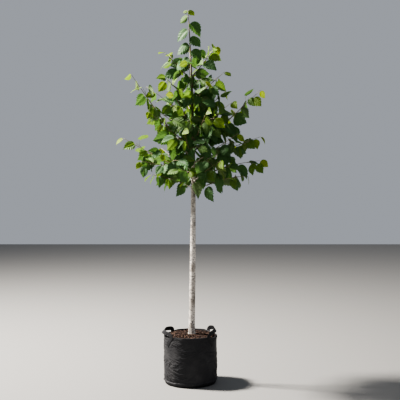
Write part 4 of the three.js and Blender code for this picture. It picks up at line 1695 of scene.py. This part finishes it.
class GrowBag:
    """The cloth shell with its crumples, folds and hem, and the thread that holds the hem."""

    SIDES = 384
    HEM_EDGE = (0.3495, 0.3510)
    HEM = (0.3500, 0.3506, 0.3514, 0.3560, 0.3610, 0.3660, 0.3685, 0.3696)
    INSIDE = (0.3698, 0.366, 0.360, 0.350, 0.335, 0.30, 0.20, 0.10, 0.03, 0.004)
    SEAM = 0.3545
    PITCH = 0.0046
    STITCH = 0.0015

    def __init__(self, effects: Effects) -> None:
        """Draws the noise that the cloth is crumpled by.

        Args:
            effects: The shared shader groups.
        """
        self.form = BagForm()
        self.effects = effects
        self.bulge, self.folds, self.pleats = Relief(11, 5, 3), Relief(12, 30, 2), Relief(13, 21, 5)
        self.warp, self.rim = Relief(14, 9, 8), Relief(15, 8, 1)
        self.creases = [(Relief(20, 16, 20), 0.0022), (Relief(21, 32, 44), 0.0028),
                        (Relief(22, 70, 96), 0.0021)]

    def wall_radius(self, z: Array) -> Array:
        """The radius of the plain wall, swollen by belly * sin over its height."""
        form = self.form
        share = np.clip((z - form.foot_round) / (form.height - form.foot_round), 0.0, 1.0)
        return form.radius - form.proud + form.belly * np.sin(math.pi * share)

    def leg_closeness(self, angle: Array, z: Array) -> Array:
        """1 under a handle's leg, and 0 away from it: the legs lean outwards as they climb.

        Args:
            angle: Angles round the bag.
            z: Heights.

        Returns:
            Shares from 0 to 1.
        """
        form = self.form
        climb = np.clip((z - form.leg_foot) / (form.height - form.leg_foot), 0.0, 1.0)
        lean = np.radians(mix(form.leg_foot_turn, form.leg_rim_turn, climb))
        off = np.abs(np.angle(np.exp(2j * angle))) / 2.0
        gap = np.abs(off - lean) * form.radius
        return (1.0 - smooth_step(0.015, 0.034, gap)) * smooth_step(form.leg_foot - 0.035, form.leg_foot, z)

    def offset(self, angle: Array, z: Array) -> Array:
        """How far the cloth stands out of its plain wall.

        Broad bulges, folds that hang from the rim, pleats in the rolled foot, a tuck that wanders
        round above it, and creases: one minus the size of a warped noise, cubed, which leaves sharp
        crests with smooth cloth between them. A sine of the angle tilts the creases up and down as
        they run round.

        Args:
            angle: Angles round the bag.
            z: Heights.

        Returns:
            Distances in metres.
        """
        turn = angle / (2.0 * math.pi)
        share = z / self.form.height
        total = 0.0026 * self.bulge(turn, share)
        total += 0.0024 * self.folds(turn, share) * smooth_step(0.19, 0.36, z)
        total += 0.0050 * np.abs(self.pleats(turn, share)) * (1.0 - smooth_step(0.03, 0.11, z))
        tuck = 0.029 + 0.008 * self.bulge(turn + 0.3, share) + 0.005 * self.folds(turn, np.zeros_like(z))
        crest = 0.0048 * np.exp(-(((z - tuck) / 0.006) ** 2))
        groove = 0.0030 * np.exp(-(((z - tuck - 0.012) / 0.005) ** 2))
        total += crest - groove
        warp = 0.05 * self.warp(turn, share)
        lie = 0.12 + 0.76 * share + warp + 0.08 * np.sin(3.0 * angle + 0.8)
        patchy = 0.35 + 0.65 * smooth_step(-0.4, 0.5, self.warp(turn + 0.37, share))
        for noise, depth in self.creases:
            total += depth * patchy * (1.0 - np.abs(noise(turn + warp, lie))) ** 3
        total = total * smooth_step(0.0, 0.03, z) - 0.0012
        pressed = self.form.radius + 0.0002 - self.wall_radius(z)
        return mix(total, pressed, self.leg_closeness(angle, z))

    def surface(self, angle: Array, z: Array, above: float = 0.0) -> Array:
        """Points of the wall or hem at an angle and height, as far above the cloth as told.

        Args:
            angle: Angles round the bag.
            z: Heights.
            above: How far above.

        Returns:
            One point for each.
        """
        proud = self.form.proud * smooth_step(*self.HEM_EDGE, z) * (1.0 - self.leg_closeness(angle, z))
        radius = self.wall_radius(z) + self.offset(angle, z) + above + proud
        return polar(radius, angle, z + self.rim_lift(angle, z))

    def rim_lift(self, angle: Array, z: Array) -> Array:
        """How far the rim waves up and down, and sags between the two legs of a handle.

        Args:
            angle: Angles round the bag.
            z: Heights.

        Returns:
            Distances in metres.
        """
        form = self.form
        off = np.abs(np.angle(np.exp(2j * angle))) / 2.0
        between = 1.0 - smooth_step(math.radians(38.0), math.radians(60.0), off)
        wave = 0.0030 * self.rim(angle / (2.0 * math.pi), np.full_like(z, 0.5)) - 0.001
        return (wave - form.sag * between) * smooth_step(0.22, form.height, z)

    def build(self) -> Patch:
        """Makes the shell.

        Returns:
            The stitches of its hem.
        """
        form = self.form
        angle, arc = round_angles(self.SIDES), np.radians(np.linspace(-90.0, 0.0, 14))
        heights = np.concatenate([np.linspace(form.foot_round + 0.002, 0.3492, 132), self.HEM])
        core = form.radius - form.proud - form.foot_round
        floor = np.stack([np.linspace(0.004, core, 7)[:-1], np.zeros(6)], axis=1)
        foot = np.stack([core + form.foot_round * np.cos(arc), form.foot_round * (1.0 + np.sin(arc))], axis=1)
        under = np.concatenate([floor, foot])
        z_low, r_low = under[:, 1][:, None], under[:, 0][:, None]
        wide, tall = np.broadcast_arrays(angle[None], z_low)
        lower = r_low + self.offset(wide, tall) * smooth_step(core, form.radius, r_low)
        outer = self.surface(*np.meshgrid(angle, heights))
        inner = self.surface(*np.meshgrid(angle, self.INSIDE), -form.wall - form.proud * 0.6)
        rings = np.concatenate([polar(lower, wide, tall), outer, inner, polar(0.02, angle, 0.003)[None]])
        wrap = np.linspace(0.0, 2.0 * math.pi * form.radius, self.SIDES + 1)
        make_piece("bag_cloth", [tube_patch(rings, grid_uv(wrap, Line(rings[:, 0]).along))],
                   BAG_CLOTH.material("cloth", self.effects), ["grow_bag"])
        turns = np.arange(0.0, 2.0 * math.pi, self.PITCH / form.radius)
        ends = [self.surface(turns + part / form.radius, np.full(len(turns), self.SEAM), 0.0003)
                for part in (-self.STITCH, self.STITCH)]
        return stitches(*ends)


def stitches(starts: Array, ends: Array, radius: float = 0.0005) -> Patch:
    """Thread stitches on an upright wall: each a long eight-sided bead between two points.

    Args:
        starts: Where each stitch starts.
        ends: Where it ends.
        radius: Half of the thread's thickness.

    Returns:
        All stitches in one patch.
    """
    out, ahead = unit(starts * [1.0, 1.0, 0.0]), unit(ends - starts)
    across = unit(np.cross(out, ahead))
    middle = (starts + ends) / 2.0
    points = np.stack([starts, middle + across * radius, middle + out * radius, middle - across * radius,
                       middle - out * radius, ends], axis=1)
    faces = np.array([[0, 2, 1], [0, 3, 2], [0, 4, 3], [0, 1, 4],
                      [5, 1, 2], [5, 2, 3], [5, 3, 4], [5, 4, 1]])
    uv = np.array([[0.0, 0.0], [0.5, 0.3], [0.5, 0.5], [0.5, 0.7], [0.5, 0.9], [1.0, 0.0]])[faces]
    return stamp(points, faces, uv)


@dataclass(frozen=True)
class HandleForm:
    """One handle: its side, how high and how far out its loop stands, and how far it flops."""

    name: str
    bearing: float
    rise: float
    spread: float
    flop: float


class Handle:
    """A webbing band: two legs sewn flat on the wall, and a loop that turns its flat side up."""

    WIDTH = 0.032
    THICK = 0.0024
    RINGS = 150
    OFF_WALL = (0.0002, 0.0005)
    SEAM_BOX = (0.0095, 0.006, 0.046)
    PITCH = 0.0044

    def __init__(self, form: HandleForm, bag: BagForm) -> None:
        """Works out the middle line and the two directions across the band at every ring.

        Args:
            form: The handle's own sizes.
            bag: The sizes of the bag.
        """
        self.form = form
        reach = bag.radius + self.OFF_WALL[0] + self.OFF_WALL[1] + self.THICK / 2.0
        out = np.array([math.cos(math.radians(form.bearing)), math.sin(math.radians(form.bearing)), 0.0])
        along = np.cross(UP, out)

        def at(outward: float, sideways: float, up: float) -> Array:
            """A place or direction by how far it lies outward, sideways and up."""
            return out * outward + along * sideways + UP * up

        def on_wall(degrees: float, up: float) -> tuple[Array, Array]:
            """A station of a leg: its middle and the direction of its width."""
            angle = math.radians(degrees)
            return (at(reach * math.cos(angle), -reach * math.sin(angle), up),
                    at(-math.sin(angle), -math.cos(angle), 0.0))

        def on_loop(degrees: float, inwards: float, up: float, width: Array) -> tuple[Array, Array]:
            """A station of the loop."""
            angle = math.radians(degrees)
            radius = reach + form.spread * inwards
            return at(radius * math.cos(angle), -radius * math.sin(angle), bag.height + form.rise * up), width

        turn_low, turn_high = bag.leg_foot_turn, bag.leg_rim_turn
        climb = [on_wall(turn_low, bag.leg_foot), on_wall((turn_low + turn_high) / 2.0, 0.333),
                 on_wall(turn_high, bag.height - 0.002),
                 on_loop(turn_high * 0.93, 0.0, 0.5, at(-0.49, -0.51, 0.7)),
                 on_loop(turn_high * 0.52, 0.6, 0.95, at(-0.35, -0.16, 0.92))]
        lean = math.radians(form.flop)
        top = [(at(reach + form.spread, 0.0, bag.height + form.rise),
                at(-math.cos(lean), 0.0, math.sin(lean)))]
        mirror = np.eye(3) - 2.0 * np.outer(along, along)
        descent = [(mirror @ middle, mirror @ width) for middle, width in reversed(climb)]
        stations = climb + top + descent
        shares = np.linspace(0.0, 1.0, self.RINGS)
        self.middle = curve_through(np.array([station[0] for station in stations]), shares)
        tangent = unit(np.gradient(self.middle, axis=0))
        wide = curve_through(np.array([station[1] for station in stations]), shares)
        self.wide = unit(wide - tangent * (wide * tangent).sum(axis=1, keepdims=True))
        self.thick = np.cross(tangent, self.wide)
        self.along = Line(self.middle).along
        self.radius = bag.radius
        self.leg = 1.0 - smooth_step(bag.height - 0.020, bag.height + 0.004, self.middle[:, 2])

    def place(self, distance: Array, across: Array, above: Array) -> Array:
        """Points of the band by distance along it, across its width and out of its face.

        On a leg the band also bends round the wall, by the square of the distance across over twice
        the wall's radius.

        Args:
            distance: Distances along it.
            across: Distances across it.
            above: Distances out of its face.

        Returns:
            One point for each.
        """
        middle, wide, thick = (
            np.stack([np.interp(distance, self.along, part[:, k]) for k in range(3)], axis=-1)
            for part in (self.middle, self.wide, self.thick))
        leg = np.interp(distance, self.along, self.leg)
        hug = unit(middle * [1.0, 1.0, 0.0]) * (leg * across**2 / (2.0 * self.radius))[..., None]
        return middle + wide * across[..., None] + thick * above[..., None] - hug

    def outer_side(self) -> float:
        """1 if the thickness direction points out of the wall on the legs, and -1 if into it."""
        return float(np.sign((self.thick[3] * self.middle[3] * [1.0, 1.0, 0.0]).sum()))

    def band(self) -> Patch:
        """The band: a flat section with rounded edges and a groove beside each, carried along the line.

        Returns:
            The closed band.
        """
        angle = round_angles(28)
        x = np.sign(np.cos(angle)) * np.abs(np.cos(angle)) ** 0.35
        y = np.sign(np.sin(angle)) * np.abs(np.sin(angle)) ** 0.7
        rib = 1.0 - 0.16 * (1.0 - smooth_step(0.0, 0.14, np.abs(np.abs(x) - 0.80)))
        distance, across = np.meshgrid(self.along, x * self.WIDTH / 2.0, indexing="ij")
        above = np.broadcast_to((y * rib * self.THICK / 2.0)[None], across.shape)
        rings = self.place(distance, across, above)
        loop = np.concatenate([[0.0], np.cumsum(np.hypot(np.diff(x, append=x[0]) * self.WIDTH / 2.0,
                                                         np.diff(y, append=y[0]) * self.THICK / 2.0))])
        return tube_patch(rings, grid_uv(loop, self.along))

    def seams(self) -> list[Patch]:
        """The stitches on both legs: a box with a cross in it.

        Returns:
            One patch for each seam.
        """
        half, low, young_bark_and_painted_shade = self.SEAM_BOX
        corners = [(-half, low), (half, low), (half, young_bark_and_painted_shade), (-half, young_bark_and_painted_shade),
                   (-half, low), (half, young_bark_and_painted_shade), (half, low), (-half, young_bark_and_painted_shade)]
        lift, patches = self.outer_side() * (self.THICK / 2.0 + 0.0002), []
        for flip in (False, True):
            for (x0, d0), (x1, d1) in zip(corners[:-1], corners[1:]):
                count = max(2, round(math.hypot(x1 - x0, d1 - d0) / self.PITCH))
                share = (np.arange(count) + 0.5) / count
                ends = []
                for part in (-0.32, 0.32):
                    span = np.clip(share + part / count, 0.0, 1.0)
                    distance = mix(d0, d1, span)
                    distance = self.along[-1] - distance if flip else distance
                    ends.append(self.place(distance, mix(x0, x1, span), np.full(count, lift)))
                patches.append(stitches(*ends))
        return patches


HANDLE_FORMS = (HandleForm("handle_right", 0.0, 0.030, -0.010, 55.0),
                HandleForm("handle_left", 180.0, 0.019, 0.006, 45.0))


@dataclass(frozen=True)
class Compost:
    """Bark compost: a crumbled surface that falls away towards the wall, with loose chips on it.

    Attributes:
        reliefs: Seed, cells round, cells outwards and depth of each noise in the surface.
        skirt: The level at which the surface's edge ends inside the bag.
    """

    top: float = 0.364
    patch: float = 0.045
    drop: float = 0.009
    edge: float = 0.1935
    skirt: float = 0.30
    sides: int = 160
    rings: int = 70
    reliefs: tuple[tuple[int, int, int, float], ...] = ((31, 14, 7, 0.0030), (32, 44, 22, 0.0022),
                                                        (33, 120, 60, 0.0014))
    chips: int = 1900
    trunk_room: float = 0.030

    def height(self, radius: Array) -> Array:
        """The level of the surface at a distance from the middle."""
        share = np.clip((radius - self.patch) / (self.edge - self.patch), 0.0, 1.0)
        return self.top - self.drop * share

    def build(self, effects: Effects, middle: tuple[float, float, float]) -> None:
        """Makes the surface and three pieces of chips.

        Args:
            effects: The shared shader groups.
            middle: The foot of the trunk.
        """
        angle = round_angles(self.sides)
        around, radius = np.meshgrid(angle, np.linspace(0.003, self.edge, self.rings))
        turn, share = around / (2.0 * math.pi), radius / self.edge
        level = self.height(radius) - 0.002
        for seed, across, along, depth in self.reliefs:
            level = level + depth * Relief(seed, across, along)(turn, share) * smooth_step(0.0, 0.1, share)
        rings = np.concatenate([polar(self.edge, angle, self.skirt)[None],
                                polar(radius, around, level)[::-1]])
        uv = grid_uv(np.linspace(0.0, 1.0, self.sides + 1), np.linspace(0.0, 0.2, len(rings)))
        make_piece("compost_bed", [tube_patch(rings, uv)], COMPOST_BED.material("compost_bed", effects),
                   ["soil"])
        rng = np.random.default_rng(41)
        points = self._chip_points(rng, middle)
        kinds = rng.choice(3, len(points), p=[share for _, share in CHIP_KINDS.values()])
        faces = np.array([[0, 3, 2, 1], [4, 5, 6, 7], [0, 1, 5, 4], [1, 2, 6, 5], [2, 3, 7, 6], [3, 0, 4, 7]])
        square = np.array([[0.0, 0.0], [1.0, 0.0], [1.0, 1.0], [0.0, 1.0]])
        for kind, (name, (finish, _)) in enumerate(CHIP_KINDS.items()):
            patch = stamp(points[kinds == kind], faces, np.tile(square[None], (6, 1, 1)))
            make_piece(name, [patch], finish.material(name, effects), ["soil"], smooth=False)

    def _chip_points(self, rng: np.random.Generator, middle: tuple[float, float, float]) -> Array:
        """The eight corners of each chip: a thin block with shifted corners, laid nearly flat anywhere
        on the compost but at the trunk.

        Args:
            rng: Where the sizes, places and turns are drawn from.
            middle: The foot of the trunk.

        Returns:
            Chips by corners by three.
        """
        long = rng.uniform(0.006, 0.024, self.chips)
        block = np.array([[-1, -1, -1], [1, -1, -1], [1, 1, -1], [-1, 1, -1],
                          [-1, -1, 1], [1, -1, 1], [1, 1, 1], [-1, 1, 1]], float) / 2.0
        size = np.stack([long, long * rng.uniform(0.35, 0.7, self.chips),
                         rng.uniform(0.0015, 0.0045, self.chips)], axis=1)
        corners = block[None] * size[:, None] * rng.uniform(0.55, 1.2, (self.chips, 8, 3))
        radius = np.sqrt(rng.uniform(0.0, 1.0, self.chips)) * (self.edge - 0.006 - long / 2.0)
        angle = rng.uniform(0.0, 2.0 * math.pi, self.chips)
        place = polar(radius, angle, self.height(radius) + rng.uniform(-0.001, 0.0035, self.chips))
        off = place[:, :2] - np.array(middle[:2])
        gap = np.linalg.norm(off, axis=1, keepdims=True)
        room = self.trunk_room + long[:, None] / 2.0
        place[:, :2] += np.where(gap < room, off / np.maximum(gap, 1e-6) * (room - gap), 0.0)
        yaw, pitch, roll = (rng.uniform(-1.0, 1.0, self.chips) * reach for reach in (math.pi, 0.5, 0.4))
        first = np.stack([np.cos(yaw) * np.cos(pitch), np.sin(yaw) * np.cos(pitch), np.sin(pitch)], axis=1)
        second = unit(np.cross(UP, first))
        third = np.cross(first, second)
        turned = (second * np.cos(roll)[:, None] + third * np.sin(roll)[:, None],
                  third * np.cos(roll)[:, None] - second * np.sin(roll)[:, None])
        return (place[:, None] + corners[..., :1] * first[:, None] + corners[..., 1:2] * turned[0][:, None]
                + corners[..., 2:] * turned[1][:, None])


# ---- studio


@dataclass(frozen=True)
class Lamp:
    """A square soft lamp that shines at the middle of the tree from a direction."""

    name: str
    way: tuple[float, float, float]
    distance: float
    power: float
    size: float
    colour: tuple[float, float, float]

    def build(self, aim: float) -> None:
        """Hangs the lamp.

        Args:
            aim: The height of the tree's middle.
        """
        data = bpy.data.lights.new(self.name, "AREA")
        data.energy, data.size, data.color = self.power, self.size, self.colour
        lamp = bpy.data.objects.new(self.name, data)
        direction = Vector(self.way).normalized()
        lamp.location = Vector((0.0, 0.0, aim)) + direction * self.distance
        lamp.rotation_euler = direction.to_track_quat("Z", "Y").to_euler()
        bpy.context.scene.collection.objects.link(lamp)


@dataclass(frozen=True)
class Studio:
    """A plain pale floor, two lamps, an even sky and the camera, which looks down by a dip in degrees."""

    eye: tuple[float, float, float] = (0.0735, -5.5, 1.457)
    dip: float = 0.789
    lens: float = 65.34
    sensor: float = 36.0
    lamps: tuple[Lamp, ...] = (
        Lamp("key", (-0.655, 0.140, 0.743), 6.5, 3450.0, 0.9, (1.0, 0.95, 0.88)),
        Lamp("fill", (0.35, -0.85, 0.4), 6.0, 15.0, 3.0, (0.9, 0.95, 1.0)))
    aim: float = 1.5
    sky: float = 0.37
    sky_colour: Colour = (0.86, 0.91, 1.0, 1.0)
    floor_half: float = 14.0
    floor_colour: Colour = tint(120, 119, 117)
    look: str = "AgX - Medium High Contrast"

    def build(self) -> None:
        """Makes the floor, the lights and the camera."""
        material, graph = new_material("floor")
        shader = graph.add("BsdfPrincipled", {"Base Color": self.floor_colour, "Roughness": 0.9})
        graph.add("OutputMaterial", {"Surface": shader.outputs[0]})
        half = self.floor_half
        mesh = bpy.data.meshes.new("floor")
        mesh.from_pydata([(-half, -half, 0.0), (half, -half, 0.0), (half, half, 0.0), (-half, half, 0.0)],
                         [], [(0, 1, 2, 3)])
        mesh.materials.append(material)
        floor = bpy.data.objects.new("floor", mesh)
        bpy.context.scene.collection.objects.link(floor)
        world = bpy.data.worlds.new("studio")
        world.use_nodes = True
        back = world.node_tree.nodes["Background"]
        back.inputs["Color"].default_value = self.sky_colour
        back.inputs["Strength"].default_value = self.sky
        bpy.context.scene.world = world
        for lamp in self.lamps:
            lamp.build(self.aim)
        bpy.context.scene.view_settings.look = self.look
        camera = bpy.data.objects.new("camera", bpy.data.cameras.new("camera"))
        camera.data.lens, camera.data.sensor_width = self.lens, self.sensor
        camera.location = self.eye
        camera.rotation_euler = (math.radians(90.0 - self.dip), 0.0, 0.0)
        bpy.context.scene.collection.objects.link(camera)
        bpy.context.scene.camera = camera


def main() -> None:
    """Builds the whole part in order and keeps its sizes."""
    logging.basicConfig(level=logging.INFO, format="%(message)s")
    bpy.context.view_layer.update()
    effects = Effects()
    Studio().build()
    tree = Tree(effects)
    tree.build()
    bag = GrowBag(effects)
    threads = [bag.build()]
    webbing = WEBBING.material("webbing", effects)
    for form in HANDLE_FORMS:
        handle = Handle(form, bag.form)
        make_piece(form.name + "_webbing", [handle.band()], webbing, [form.name])
        threads += handle.seams()
    make_piece("sewing_thread", threads, THREAD.material("thread", effects))
    Compost().build(effects, tree.stem.foot)


if __name__ == "__main__":
    main()
